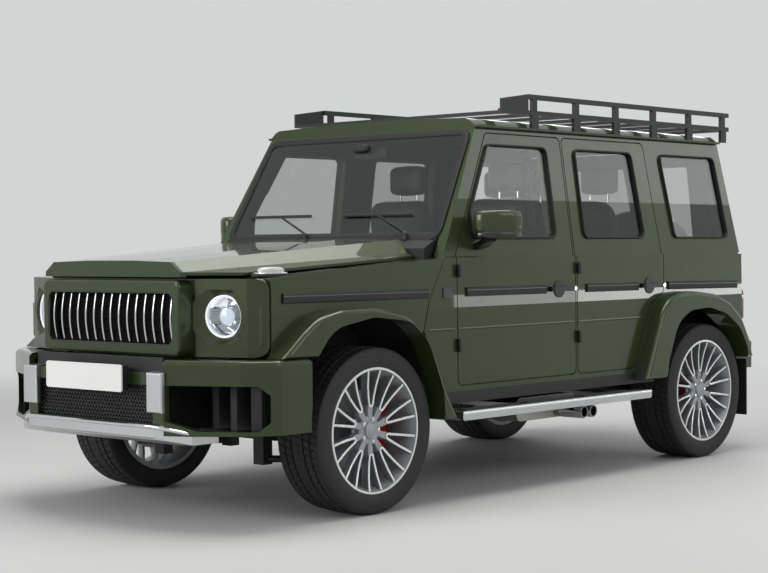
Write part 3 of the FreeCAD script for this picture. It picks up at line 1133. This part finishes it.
# Rear frame round the tailgate, kept with the two sides as the body shell
rear_frame = cut("rear_frame", shared("rear_frame_whole", slab("rear_face", "YZ", mirrored_points([
    ("inner_half", "rear_low_z"), ("inner_half", "waist_z"), ("belt_half - side_wall", "belt_z"),
    ("glass_half - side_wall", "belt_z + belt_step"), ("roof_half - side_wall", "drip_z")]),
    "x_rear", "x_rear + rear_lean + gate_wall"), slab("rear_frame_lean", "XZ", [
        ("x_rear", "rear_low_z"), ("x_rear", "belt_z"), ("rear_top_x", "drip_z"),
        ("rear_top_x + gate_wall", "drip_z"), ("x_rear + gate_wall", "belt_z"),
        ("x_rear + gate_wall", "rear_low_z")], "-inner_half", "inner_half")),
    gate_prism("gate_room", "x_rear - overrun", "x_rear + rear_lean + gate_wall * 3", "-gutter"),
    floor_plate, rear_header)
node(group("shell", left_side, mirrored("side_right", left_side),
           joined("rear_frame_with_lugs", rear_frame, *gate_lugs)), "body_shell")
tail_lamp = slab("tail_lamp", "YZ", [
    ("body_half - tail_wide", "tail_low_z"), ("body_half", "tail_low_z"),
    ("body_half", "tail_low_z + tail_high"), ("body_half - tail_wide", "tail_low_z + tail_high")],
    "x_rear - tail_thick", "x_rear", at_end("X", "x_rear - tail_thick"), "lamp_ring")
node(group("signals", turret_seated, mirrored("turret_right", turret_seated), tail_lamp,
           mirrored("tail_right", tail_lamp)), "signal_lamps")
rear_bar = slab("rear_bar", "XY", [
    ("x_rear - rear_bumper_deep", "-(rear_bumper_half - bumper_corner)"),
    ("x_rear - rear_bumper_deep + bumper_corner", "-rear_bumper_half"),
    ("x_rear", "-rear_bumper_half"), ("x_rear", "rear_bumper_half"),
    ("x_rear - rear_bumper_deep + bumper_corner", "rear_bumper_half"),
    ("x_rear - rear_bumper_deep", "rear_bumper_half - bumper_corner")],
    "rear_bumper_low", "rear_bumper_top", at_end("Z", "rear_bumper_top"), "bumper_edge / 2")
rear_room = block("rear_room", ("x_rear - rear_bumper_deep + bumper_wall", "x_rear + overrun"),
                  ("-(rear_bumper_half - bumper_wall * 2)", "rear_bumper_half - bumper_wall * 2"),
                  ("rear_bumper_low - overrun", "rear_bumper_top - bumper_wall"))
node(cut("rear_bumper_solid", rear_bar, rear_room), "rear_bumper")

# Running boards on brackets from the frame
board = slab("board", "XZ", [
    ("axle_f - board_front", "board_low", "board_edge"),
    ("axle_f - board_front", "board_low + board_high", "board_edge"),
    ("axle_f - board_rear", "board_low + board_high", "board_edge"),
    ("axle_f - board_rear", "board_low", "board_edge")], "board_inner", "board_outer")

BRACKET_SHARES = (0.12, 0.36, 0.86)


def bracket(i):
    """Make one bracket that carries a running board from the frame rail."""
    x = f"axle_f - board_front - (board_rear - board_front) * {BRACKET_SHARES[i]}"
    arm = block(f"bracket_arm_{i}", (f"{x} - bracket_long / 2", f"{x} + bracket_long / 2"),
                ("rail_outer", "board_inner"), ("bracket_low - bracket_thick", "bracket_low"))
    tab = block(f"bracket_tab_{i}", (f"{x} - bracket_long / 2", f"{x} + bracket_long / 2"),
                ("rail_outer", "rail_outer + bracket_thick"), ("bracket_low", "engine_low"))
    return joined(f"bracket_{i}", arm, tab)


left_board = joined("left_board", board, *[bracket(i) for i in range(len(BRACKET_SHARES))])
node(pair("boards", left_board), "running_boards")

# Exhaust: a silencer below the floor with two tips ahead of each rear wheel
silencer = slab("silencer", "XZ", [
    ("axle_f - muffler_front", "muffler_low", "muffler_edge"),
    ("axle_f - muffler_front", "muffler_low + muffler_high", "muffler_edge"),
    ("axle_f - muffler_front - muffler_long", "muffler_low + muffler_high", "muffler_edge"),
    ("axle_f - muffler_front - muffler_long", "muffler_low", "muffler_edge")],
    "muffler_inner", "muffler_outer")


def tip(i):
    """Make one open exhaust tip."""
    x = f"axle_f - muffler_front - muffler_long + tip_gap * ({i} + tip_start_share)"
    outer = rod(f"tip_{i}", "Y", (x, "tip_z"), "tip_radius", "muffler_outer - tip_wall",
                "tip_reach")
    bore = rod(f"tip_bore_{i}", "Y", (x, "tip_z"), "tip_radius - tip_wall", "muffler_outer",
               "tip_reach + overrun")
    return cut(f"tip_tube_{i}", outer, bore)


hanger = block("hanger", ("axle_f - muffler_front - muffler_long / 2 - bracket_long / 2",
                          "axle_f - muffler_front - muffler_long / 2 + bracket_long / 2"),
               ("muffler_inner + muffler_edge", "muffler_inner + muffler_edge * 2"),
               ("muffler_low + muffler_high - tip_wall", "floor_low"))
left_exhaust = joined("left_exhaust", silencer, tip(0), tip(1), hanger)
node(pair("exhausts", left_exhaust), "exhaust")

# Engine, gearbox, shafts and tank
engine = block("engine", ("axle_f - engine_long + engine_front", "axle_f + engine_front"),
               ("-engine_half", "engine_half"), ("engine_low", "engine_top"))
node(group("engine_bay", engine, radiator), "engine_block")
rear_shaft = rod("rear_shaft", "X", ("0", "tyre_radius + shaft_radius"), "shaft_radius",
                 "axle_r + diff_radius + bearing_gap", f"{box_front} - box_long")
bell = block("bell", (f"{box_front} - member_long", box_front), ("-engine_half", "engine_half"),
             ("engine_low", "box_top"))
node(joined("drive", gearbox, rear_shaft, bell), "driveline")
node(block("tank", ("axle_r - tank_start - tank_long", "axle_r - tank_start"),
           ("-tank_half", "tank_half"), ("tank_low", "rail_low")), "fuel_tank")

# Front suspension: two wishbones, a spring leg, a half-shaft and the steering rack's housing
lower_z, upper_z = "tyre_radius - lower_arm_drop", "tyre_radius + upper_arm_rise"


def wishbone(name, z_out, z_in, inner):
    """Make a V of two links from the frame to one ball joint."""
    joint = ("axle_f", "king_y", z_out)
    legs = [link(f"{name}_{word}", joint, (f"axle_f {side} arm_spread", inner, z_in),
                 "arm_radius") for word, side in (("front", "+"), ("rear", "-"))]
    return joined(name, ball(name + "_ball", joint, "ball_radius"), *legs)


def pivot_block(name, side, low, high, inner, outer):
    """Make one block that carries a wishbone's pivot on the frame rail."""
    return block(name, (f"axle_f {side} arm_spread - pivot_wide",
                        f"axle_f {side} arm_spread + pivot_wide"), (inner, outer), (low, high))


lower_arm = wishbone("lower_arm", lower_z, lower_z, "rail_outer - pivot_block")
upper_arm = wishbone("upper_arm", upper_z, "upper_pivot_z", "rail_outer + pivot_block / 2")
pivots = [pivot_block(f"low_pivot_{word}", side, f"{lower_z} - pivot_block", "rail_low",
                      "rail_inner", "rail_outer") for word, side in (("front", "+"), ("rear", "-"))]
pivots += [pivot_block(f"high_pivot_{word}", side, "rail_low + pivot_block / 4",
                       "upper_pivot_z + pivot_block",
                       "rail_outer", "rail_outer + pivot_block")
           for word, side in (("front", "+"), ("rear", "-"))]
damper_x = "axle_f - arm_spread * (king_y - damper_y) / (king_y - rail_outer + pivot_block)"
damper = rod("damper", "Z", (damper_x, "damper_y"), "damper_radius",
             f"{lower_z} - arm_radius / 2", "damper_top")
damper_plate = block("damper_plate", (f"{damper_x} - damper_radius", f"{damper_x} + damper_radius"),
                     ("rail_outer", "damper_y"),
                     ("damper_top", "damper_top + spring_plate"))
half_shaft = rod("half_shaft", "Y", ("axle_f", "tyre_radius"), "half_shaft_radius", "0",
                 "half_shaft_end")
shaft_joint = rod("shaft_joint", "Y", ("axle_f", "tyre_radius"), "joint_radius",
                  "half_shaft_end - joint_radius * 2", "half_shaft_end")
front_diff = rod("front_diff", "Y", ("axle_f", "tyre_radius"), "front_diff_radius", "0",
                 "front_diff_half")
diff_hanger = block("diff_hanger", ("axle_f - member_long", "axle_f"), ("0", "front_diff_half"),
                    ("tyre_radius", "rail_low"))
bar_z = "tyre_radius - steer_arm_drop + rack_rise"
housing = cut("housing_tube", rod("housing", "Y", ("axle_f + steer_arm", bar_z), "housing_radius",
                                  "0", "housing_half"),
              rod("housing_bore", "Y", ("axle_f + steer_arm", bar_z), "bar_radius + bearing_gap",
                  "-overrun", "housing_half + overrun"))
housing_hanger = block("housing_hanger",
                       ("axle_f + steer_arm - bar_radius", "axle_f + steer_arm + bar_radius"),
                       ("rail_inner", "rail_outer"),
                       (f"{bar_z} + bar_radius + bearing_gap * 2", "rail_low"))
corner_parts = joined("corner_parts", lower_arm, upper_arm, *pivots, damper, damper_plate)
inner_parts = joined("inner_parts", half_shaft, shaft_joint, front_diff, diff_hanger)
rack_parts = joined("rack_parts", housing, housing_hanger)
node(group("front_links", corner_parts, mirrored("corner_parts_right", corner_parts),
           joined("front_shafts", inner_parts, mirrored("inner_parts_right", inner_parts)),
           joined("rack_housing", rack_parts, mirrored("rack_parts_right", rack_parts))),
     "front_suspension")
rod_end = ball("rod_end", ("axle_f + steer_arm", "bar_end", bar_z), "eye_radius")
node(joined("rack", rod("rack_bar", "Y", ("axle_f + steer_arm", bar_z), "bar_radius",
                        "-bar_end", "bar_end"), rod_end, mirrored("rod_end_right", rod_end)),
     "steering_rack")

# Brake calipers straddle the discs, and the front ones ride on the steered knuckles
disc_in = "king_half + disc_gap"


def caliper(name, axle, back):
    """Make one brake caliper that straddles the disc, behind or ahead of the axle."""
    near, far = ("caliper_out", "caliper_in") if back else ("-caliper_in", "-caliper_out")
    body = block(name + "_body", (f"{axle} - ({near})", f"{axle} - ({far})"),
                 (f"{disc_in} - caliper_gap - caliper_wall",
                  f"{disc_in} + disc_thick + caliper_gap + caliper_wall"),
                 ("tyre_radius - caliper_half", "tyre_radius + caliper_half"))
    room = rod(name + "_room", "Y", (axle, "tyre_radius"), "disc_radius + caliper_gap",
               f"{disc_in} - caliper_gap", f"{disc_in} + disc_thick + caliper_gap")
    near, far = ("caliper_in + caliper_wall", "0") if back else ("0", "-caliper_in - caliper_wall")
    arm = block(name + "_carrier", (f"{axle} - ({near})", f"{axle} - ({far})"),
                ("king_half - knuckle_half / 2", "king_half"),
                ("tyre_radius - carrier_half", "tyre_radius + carrier_half"))
    return cut(name, joined(name + "_solid", body, arm), room)


def spindle(name, axle):
    """Make the spindle that a wheel turns on."""
    return rod(name, "Y", (axle, "tyre_radius"), "spindle_radius", "king_half - bearing_gap",
               "half_track - spindle_end - bearing_gap")


upright = block("upright", ("axle_f - knuckle_wide", "axle_f + knuckle_wide"),
                ("king_half - knuckle_half", "king_half"),
                (f"{lower_z} + ball_radius + bearing_gap + stud_high",
                 f"{upper_z} - ball_radius - bearing_gap - stud_high"))
stud = rod("ball_stud", "Z", ("axle_f", "king_y"), "stud_radius",
           f"{lower_z} + ball_radius + bearing_gap", f"{upper_z} - ball_radius - bearing_gap")
steer_arm = block("steer_arm_bar", ("axle_f", "axle_f + steer_arm + eye_radius"),
                  ("steer_arm_y", "steer_arm_y + steer_arm_wide"),
                  ("tyre_radius - steer_arm_drop - steer_arm_thick", "tyre_radius - steer_arm_drop"))
steer_root = block("steer_root", ("axle_f - knuckle_wide", "axle_f + knuckle_wide"),
                   ("steer_arm_y", "king_half"),
                   ("tyre_radius - steer_arm_drop - steer_arm_thick", "tyre_radius - steer_arm_drop"))
left_knuckle = joined("left_knuckle", upright, stud, steer_arm, steer_root,
                      spindle("front_spindle", "axle_f"), caliper("front_caliper", "axle_f", True))
node(left_knuckle, "knuckle_left")
node(mirrored("right_knuckle", left_knuckle), "knuckle_right")

# Rear axle: a live axle with its differential, springs and trailing links
axle_tube = rod("axle_tube", "Y", ("axle_r", "tyre_radius"), "axle_radius", "0", "king_half")
rear_diff = ball("rear_diff", ("axle_r", "0", "tyre_radius"), "diff_radius")
spring = rod("rear_spring", "Z", ("axle_r + spring_ahead", "spring_y"), "spring_radius",
             "tyre_radius", "floor_low")
spring_seat = block("spring_seat", ("axle_r", "axle_r + spring_ahead + spring_radius"),
                    ("spring_y - spring_radius", "spring_y + spring_radius"),
                    ("tyre_radius - axle_radius / 2", "tyre_radius + axle_radius / 2"))
trailing = link("trailing", ("axle_r", "trailing_y", "tyre_radius - axle_radius / 2"),
                ("axle_r + trailing_ahead", "trailing_y", "tyre_radius + axle_radius"),
                "arm_radius")
trailing_pivot = block("trailing_pivot", ("axle_r + trailing_ahead - pivot_wide",
                                          "axle_r + trailing_ahead + pivot_wide"),
                       ("rail_outer", "trailing_y + arm_radius"), ("tyre_radius", "rail_low"))
trailing_cap = block("trailing_cap", ("axle_r + trailing_ahead - pivot_wide",
                                      "axle_r + trailing_ahead + pivot_wide"),
                     ("rail_outer", "trailing_y + arm_radius"), ("rail_low", "engine_low"))
rear_half = joined("rear_half", axle_tube, spindle("rear_spindle", "axle_r"), spring, spring_seat,
                   caliper("rear_caliper", "axle_r", False), trailing, trailing_pivot, trailing_cap)
node(joined("live_axle", rear_half, mirrored("rear_half_right", rear_half), rear_diff), "rear_axle")

# Wheels: a turned rim with patterned double spokes, its brake disc, and a tyre
rim_seat = "rim_half - rim_lip"
RIM_HALF_PROFILE = [
    ("rim_half", "bead_radius - rim_wall"), ("rim_half", "bead_radius + flange_high"),
    (rim_seat, "bead_radius + flange_high"), (rim_seat, "bead_radius"),
    ("well_half", "bead_radius - rim_drop")]
rim_inner = [("-well_half", "bead_radius - rim_drop - rim_wall"),
             ("well_half", "bead_radius - rim_drop - rim_wall")]
barrel = turned("barrel", RIM_HALF_PROFILE + [(f"-({y})", r) for y, r in
                                              reversed(RIM_HALF_PROFILE)] + rim_inner,
                ("0", "0", "0"))
disc_at = f"{disc_in} - half_track"
hub = turned("hub", [
    ("-spindle_end", "0"), ("-spindle_end", "spindle_radius + bearing_gap"),
    (disc_at, "spindle_radius + bearing_gap"), (disc_at, "disc_radius"),
    (f"{disc_at} + disc_thick", "disc_radius"), (f"{disc_at} + disc_thick", "hat_radius"),
    ("spoke_face - spoke_thick", "hat_radius"), ("hub_face", "hub_radius"), ("hub_face", "0")],
    ("0", "0", "0"))


def spokes(name):
    """Make the rim's double spokes by a polar pattern of one forked pair."""
    body = doc.addObject("PartDesign::Body", name)
    body.AllowCompound = True
    sketch = body.newObject("Sketcher::SketchObject", name + "_pair")
    sketch.AttachmentSupport = [(plane_of(body, "XZ"), "")]
    sketch.MapMode = "FlatFace"
    bind(sketch, AttachmentOffset__Base__z="-(spoke_face - spoke_thick)")
    draw(sketch, mirrored_points([
        ("spoke_wide", "hub_radius * spoke_root_share"),
        ("spoke_spread + spoke_wide / 2", "bead_radius - rim_wall / 2"),
        ("spoke_spread - spoke_wide / 2", "bead_radius - rim_wall / 2"),
        ("spoke_wide / 4", "spoke_notch")]))
    pad = body.newObject("PartDesign::Pad", name + "_pad")
    pad.Profile = sketch
    pad.Reversed = True
    bind(pad, Length="spoke_thick")
    doc.recompute()
    ring = body.newObject("PartDesign::PolarPattern", name + "_ring")
    ring.Originals = [pad]
    ring.Axis = (sketch, ["N_Axis"])
    ring.Angle = 360
    bind(ring, Occurrences="spoke_pair_count")
    body.Tip = ring
    return body


rim = joined("rim", barrel, hub, spokes("spokes"))
bead = f"{rim_seat} - bead_gap"
TYRE_OUTER = [
    (bead, "bead_radius + bead_gap"), (bead, "bead_radius + flange_high + bead_gap"),
    ("tyre_width / 2", "(bead_radius + tyre_radius) / 2"),
    ("tyre_width / 2 - tyre_wall / 3", "tyre_radius - tyre_wall"),
    ("tread_half", "tyre_radius")]
TYRE_INNER = [
    ("tread_half - tyre_wall / 2", "tyre_radius - tyre_wall"),
    (f"{bead} - tyre_wall", "bead_radius + bead_gap")]
tyre = turned("tyre", TYRE_OUTER + [(f"-({p[0]})", *p[1:]) for p in reversed(TYRE_OUTER)]
              + [(f"-({y})", r) for y, r in reversed(TYRE_INNER)] + TYRE_INNER, ("0", "0", "0"))


def placed(name, source, x, y, z):
    """Put a copy of a part at a place, linked to its source."""
    thing = doc.addObject("Part::Compound", name)
    thing.Links = [source]
    return bind(thing, Placement__Base__x=x, Placement__Base__y=y, Placement__Base__z=z)


for end, axle in (("front", "axle_f"), ("rear", "axle_r")):
    for what, source in (("rim", rim), ("tyre", tyre)):
        left = placed(f"{what}_{end}_left_place", source, axle, "half_track", "tyre_radius")
        node(left, f"{what}_{end}_left")
        node(mirrored(f"{what}_{end}_right_place", left), f"{what}_{end}_right")

# Seats: two in front on pedestals and a bench behind


def seat(name, front, y, half):
    """Make one seat: pedestal, cushion, leaning back and head restraint."""
    rear = f"{front} + seat_long"
    base = block(name + "_base", (f"axle_f - ({rear})", f"axle_f - ({front}) - seat_edge"),
                 (f"{y} - ({half}) * base_share", f"{y} + ({half}) * base_share"),
                 ("floor_top", "seat_low"))
    cushion = slab(name + "_cushion", "XY", [
        (f"axle_f - ({rear})", f"{y} - ({half})", "seat_edge"),
        (f"axle_f - ({front})", f"{y} - ({half})", "seat_edge"),
        (f"axle_f - ({front})", f"{y} + ({half})", "seat_edge"),
        (f"axle_f - ({rear})", f"{y} + ({half})", "seat_edge")],
        "seat_low", "seat_low + seat_thick")
    back = slab(name + "_back", "XZ", [
        (f"axle_f - ({rear}) + back_thick / 2", "seat_low + seat_thick * back_low_share"),
        (f"axle_f - ({rear}) - back_thick / 2", "seat_low + seat_thick * back_low_share", "seat_edge"),
        (f"axle_f - ({rear}) - back_thick / 2 - seat_lean", "back_top", "seat_edge"),
        (f"axle_f - ({rear}) + back_thick / 2 - seat_lean", "back_top", "seat_edge")],
        f"{y} - ({half})", f"{y} + ({half})")
    return joined(name, base, cushion, back)


def head(name, front, y):
    """Make one head restraint on its two stalks."""
    x = f"axle_f - ({front}) - seat_long - seat_lean"
    pad = slab(name, "XZ", [
        (f"{x} - head_thick / 2", "back_top + head_gap * 3", "seat_edge / 2"),
        (f"{x} - head_thick / 2", "back_top + head_gap * 3 + head_high", "seat_edge / 2"),
        (f"{x} + head_thick / 2", "back_top + head_gap * 3 + head_high", "seat_edge / 2"),
        (f"{x} + head_thick / 2", "back_top + head_gap * 3", "seat_edge / 2")],
        f"{y} - head_half", f"{y} + head_half")
    stalks = [rod(f"{name}_stalk_{word}", "Z", (x, f"{y} {side} head_half / 2"), "head_gap",
                  "back_top - seat_edge", "back_top + head_gap * 4")
              for word, side in (("a", "-"), ("b", "+"))]
    return joined(name + "_whole", pad, *stalks)


driver_seat = joined("driver_seat", seat("seat_left", "seat_front", "seat_y", "seat_half"),
                     head("head_left", "seat_front", "seat_y"))
bench = joined("bench", seat("bench_seat", "bench_front", "0", "bench_half"),
               *[head(f"bench_head_{i}", "bench_front", f"{y}")
                 for i, y in enumerate(("-seat_y", "0", "seat_y"))])
node(group("seating", driver_seat, mirrored("passenger_seat", driver_seat), bench), "seats")

# Dashboard with its console and steering column, and the steering wheel
dash = slab("dash", "XZ", [
    ("x_bulkhead - bulkhead_thick", "dash_low"), ("x_bulkhead - bulkhead_thick", "dash_top"),
    ("x_bulkhead - bulkhead_thick - dash_deep + dash_lip", "dash_top", "dash_edge"),
    ("x_bulkhead - bulkhead_thick - dash_deep", "dash_top - dash_lip", "dash_edge"),
    ("x_bulkhead - bulkhead_thick - dash_deep + dash_lip", "dash_low", "dash_edge")],
    "-dash_half", "dash_half")
console = block("console", ("x_bulkhead - bulkhead_thick - console_long",
                            "x_bulkhead - bulkhead_thick"),
                ("-console_half", "console_half"), ("floor_top", "console_top"))
console_neck = block("console_neck", ("x_bulkhead - bulkhead_thick - dash_deep + dash_lip",
                                      "x_bulkhead - bulkhead_thick"),
                     ("-console_half", "console_half"), ("console_top", "dash_low + dash_edge"))
tilt = math.radians(SETTINGS["helm_tilt"])
helm_turn = Rotation(Vector(0, 0, 1), Vector(-math.cos(tilt), 0, math.sin(tilt)))


def on_column(thing):
    """Turn a part from upright to lie along the steering column."""
    thing.Placement = Placement(Vector(), helm_turn)
    return bind(thing, Placement__Base__x="axle_f - helm_x", Placement__Base__y="seat_y",
                Placement__Base__z="helm_z")


column = on_column(joined("column", rod("column_tube", "Z", ("0", "0"), "column_radius",
                                        "-column_long", "-helm_boss_thick / 2 - column_gap"),
                          ball("column_end", ("0", "0", "-column_long"), "column_radius")))
node(joined("dash_solid", dash, console, console_neck, column), "dashboard")
helm_ring = spun("helm_ring", [
    (f"helm_radius + helm_rim * ({math.cos(turn):.4f})", f"helm_rim * ({math.sin(turn):.4f})")
    for turn in [(i + 0.5) * math.pi / 4 for i in range(8)]])
boss = rod("boss", "Z", ("0", "0"), "helm_boss", "-helm_boss_thick / 2", "helm_boss_thick / 2")
cross_spoke = block("cross_spoke", ("-helm_spoke / 2", "helm_spoke / 2"),
                    ("-helm_radius", "helm_radius"), ("-helm_spoke_thick / 2", "helm_spoke_thick / 2"))
foot_spoke = block("foot_spoke", ("-helm_radius", "0"), ("-helm_spoke / 2", "helm_spoke / 2"),
                   ("-helm_spoke_thick / 2", "helm_spoke_thick / 2"))
node(on_column(joined("helm", helm_ring, boss, cross_spoke, foot_spoke)), "steering_wheel")

# Door mirrors on the front doors
mirror_head = slab("mirror_head", "XY", [
    ("x_mirror - mirror_long", "mirror_inner", "mirror_corner"),
    ("x_mirror", "mirror_inner", "mirror_corner"),
    ("x_mirror", "mirror_inner + mirror_tip", "mirror_corner"),
    ("x_mirror - mirror_long + mirror_back", "mirror_outer", "mirror_edge"),
    ("x_mirror - mirror_long", "mirror_outer", "mirror_corner")],
    "mirror_low", "mirror_low + mirror_high")
mirror_arm = block("mirror_arm", ("x_mirror - mirror_arm_back",
                                  "x_mirror - mirror_arm_back + mirror_arm_long"),
                   ("glass_half - skin", "mirror_inner + mirror_edge * 2"),
                   ("mirror_arm_low", "mirror_low + mirror_edge"))
left_mirror = cut("left_mirror", joined("mirror_solid", mirror_head, mirror_arm), side_skin)
node(left_mirror, "mirror_left")
node(mirrored("right_mirror", left_mirror), "mirror_right")

# Wipers parked along the foot of the screen


def wiper(name, y):
    """Make one wiper: pivot post, arm and blade."""
    base = screen_x("screen_low_z", "screen_thick * 2")
    post = rod(name + "_post", "Z", (base, y), "wiper_radius", "screen_low_z", "wiper_z")
    tip_x = screen_x("blade_z", "wiper_stand")
    arm = link(name + "_arm", (base, y, "wiper_z - wiper_radius"),
               (tip_x, f"{y} - blade_reach", "blade_z"), "wiper_radius")
    blade = link(name + "_blade", (tip_x, f"{y} - blade_reach - blade_half", "blade_z"),
                 (tip_x, f"{y} - blade_reach + blade_half", "blade_z"), "wiper_radius")
    return joined(name, post, arm, blade)


node(group("wiper_pair", wiper("wiper_right", "wiper_right_y"),
           wiper("wiper_left", "wiper_left_y")), "wipers")

# Roof rack: side rails on feet in the drip rails, with cross slats
rack_x = ("axle_f - rack_rear", "axle_f - rack_front")
BOLTED_SLATS = (1, 7)


def rack_post(i):
    """Make one upright of the rack with its foot in the drip rail."""
    x = f"axle_f - rack_rear + rack_foot + (rack_rear - rack_front - rack_plate - rack_foot * 2)" \
        f" * {i} / (rack_post_count - 1)"
    post = block(f"rack_post_{i}", (f"{x} - rack_post / 2", f"{x} + rack_post / 2"),
                 ("rack_half - rack_tube", "rack_half"), ("rack_low", "rack_low + rack_high"))
    foot = block(f"rack_foot_{i}", (f"{x} - rack_foot / 2", f"{x} + rack_foot / 2"),
                 ("roof_half", "rack_half"), ("drip_z + rail_high", "rack_low"))
    return joined(f"rack_stand_{i}", post, foot)


def rack_slat(i):
    """Make one cross slat of the rack."""
    x = f"axle_f - rack_rear + rack_slat_wide / 2 + (rack_rear - rack_front - rack_slat_wide)" \
        f" * {i} / (rack_slat_count - 1)"
    slat_bar = block(f"rack_slat_{i}", (f"{x} - rack_slat_wide / 2", f"{x} + rack_slat_wide / 2"),
                     ("-(rack_half - rack_tube)", "rack_half - rack_tube"),
                     ("rack_low", "rack_low + rack_slat_thick"))
    if i not in BOLTED_SLATS:
        return slat_bar
    hole = rod(f"rack_hole_{i}", "Z", (x, "rack_hole_y"), "rack_hole_radius",
               "rack_low - overrun", "rack_low + overrun")
    return cut(f"rack_bolted_{i}", slat_bar, hole, mirrored(f"rack_hole_{i}_right", hole))


rack_side = joined("rack_side", block("rack_low_rail", rack_x, ("rack_half - rack_tube", "rack_half"),
                                      ("rack_low", "rack_low + rack_tube")),
                   block("rack_top_rail", ("axle_f - rack_rear", "axle_f - rack_front - rack_plate"),
                         ("rack_half - rack_tube", "rack_half"),
                         ("rack_low + rack_high - rack_tube", "rack_low + rack_high")),
                   slab("rack_end_plate", "XZ", [
                       ("axle_f - rack_front - rack_plate", "rack_low"),
                       ("axle_f - rack_front", "rack_low"),
                       ("axle_f - rack_front", "rack_low + rack_high * rack_plate_share"),
                       ("axle_f - rack_front - rack_plate", "rack_low + rack_high")],
                       "rack_half - rack_tube / 2", "rack_half"),
                   *[rack_post(i) for i in range(int(number("rack_post_count")))])
node(joined("rack_whole", rack_side, mirrored("rack_side_right", rack_side),
            *[rack_slat(i) for i in range(int(number("rack_slat_count")))]), "roof_rack")

# Number plates, blank
front_plate = block("front_plate", ("x_front - plate_thick", "x_front"),
                    ("-plate_half", "plate_half"), ("plate_low_z", "plate_low_z + plate_high"))
rear_plate = block("rear_plate", ("x_rear - rear_bumper_deep - plate_thick",
                                  "x_rear - rear_bumper_deep"), ("-plate_half", "plate_half"),
                   ("rear_bumper_low + plate_thick", "rear_bumper_low + plate_thick + plate_high"))
node(group("plates", front_plate, rear_plate), "number_plates")

doc.recompute()
failed = [thing.Label for thing in doc.Objects if {"Invalid", "Error"} & set(thing.State)]
if failed:
    raise RuntimeError(f"These did not build: {failed}")
for thing in NODES:
    if thing.Shape.isNull() or not thing.Shape.isValid() or not thing.Shape.Solids:
        raise RuntimeError(f"{thing.Label} has no valid solid")
os.makedirs("parts", exist_ok=True)
for thing in NODES:
    thing.Shape.exportStep(f"parts/{thing.Label}.step")
print(len(NODES), "sub-parts,", sum(len(thing.Shape.Solids) for thing in NODES), "solids")
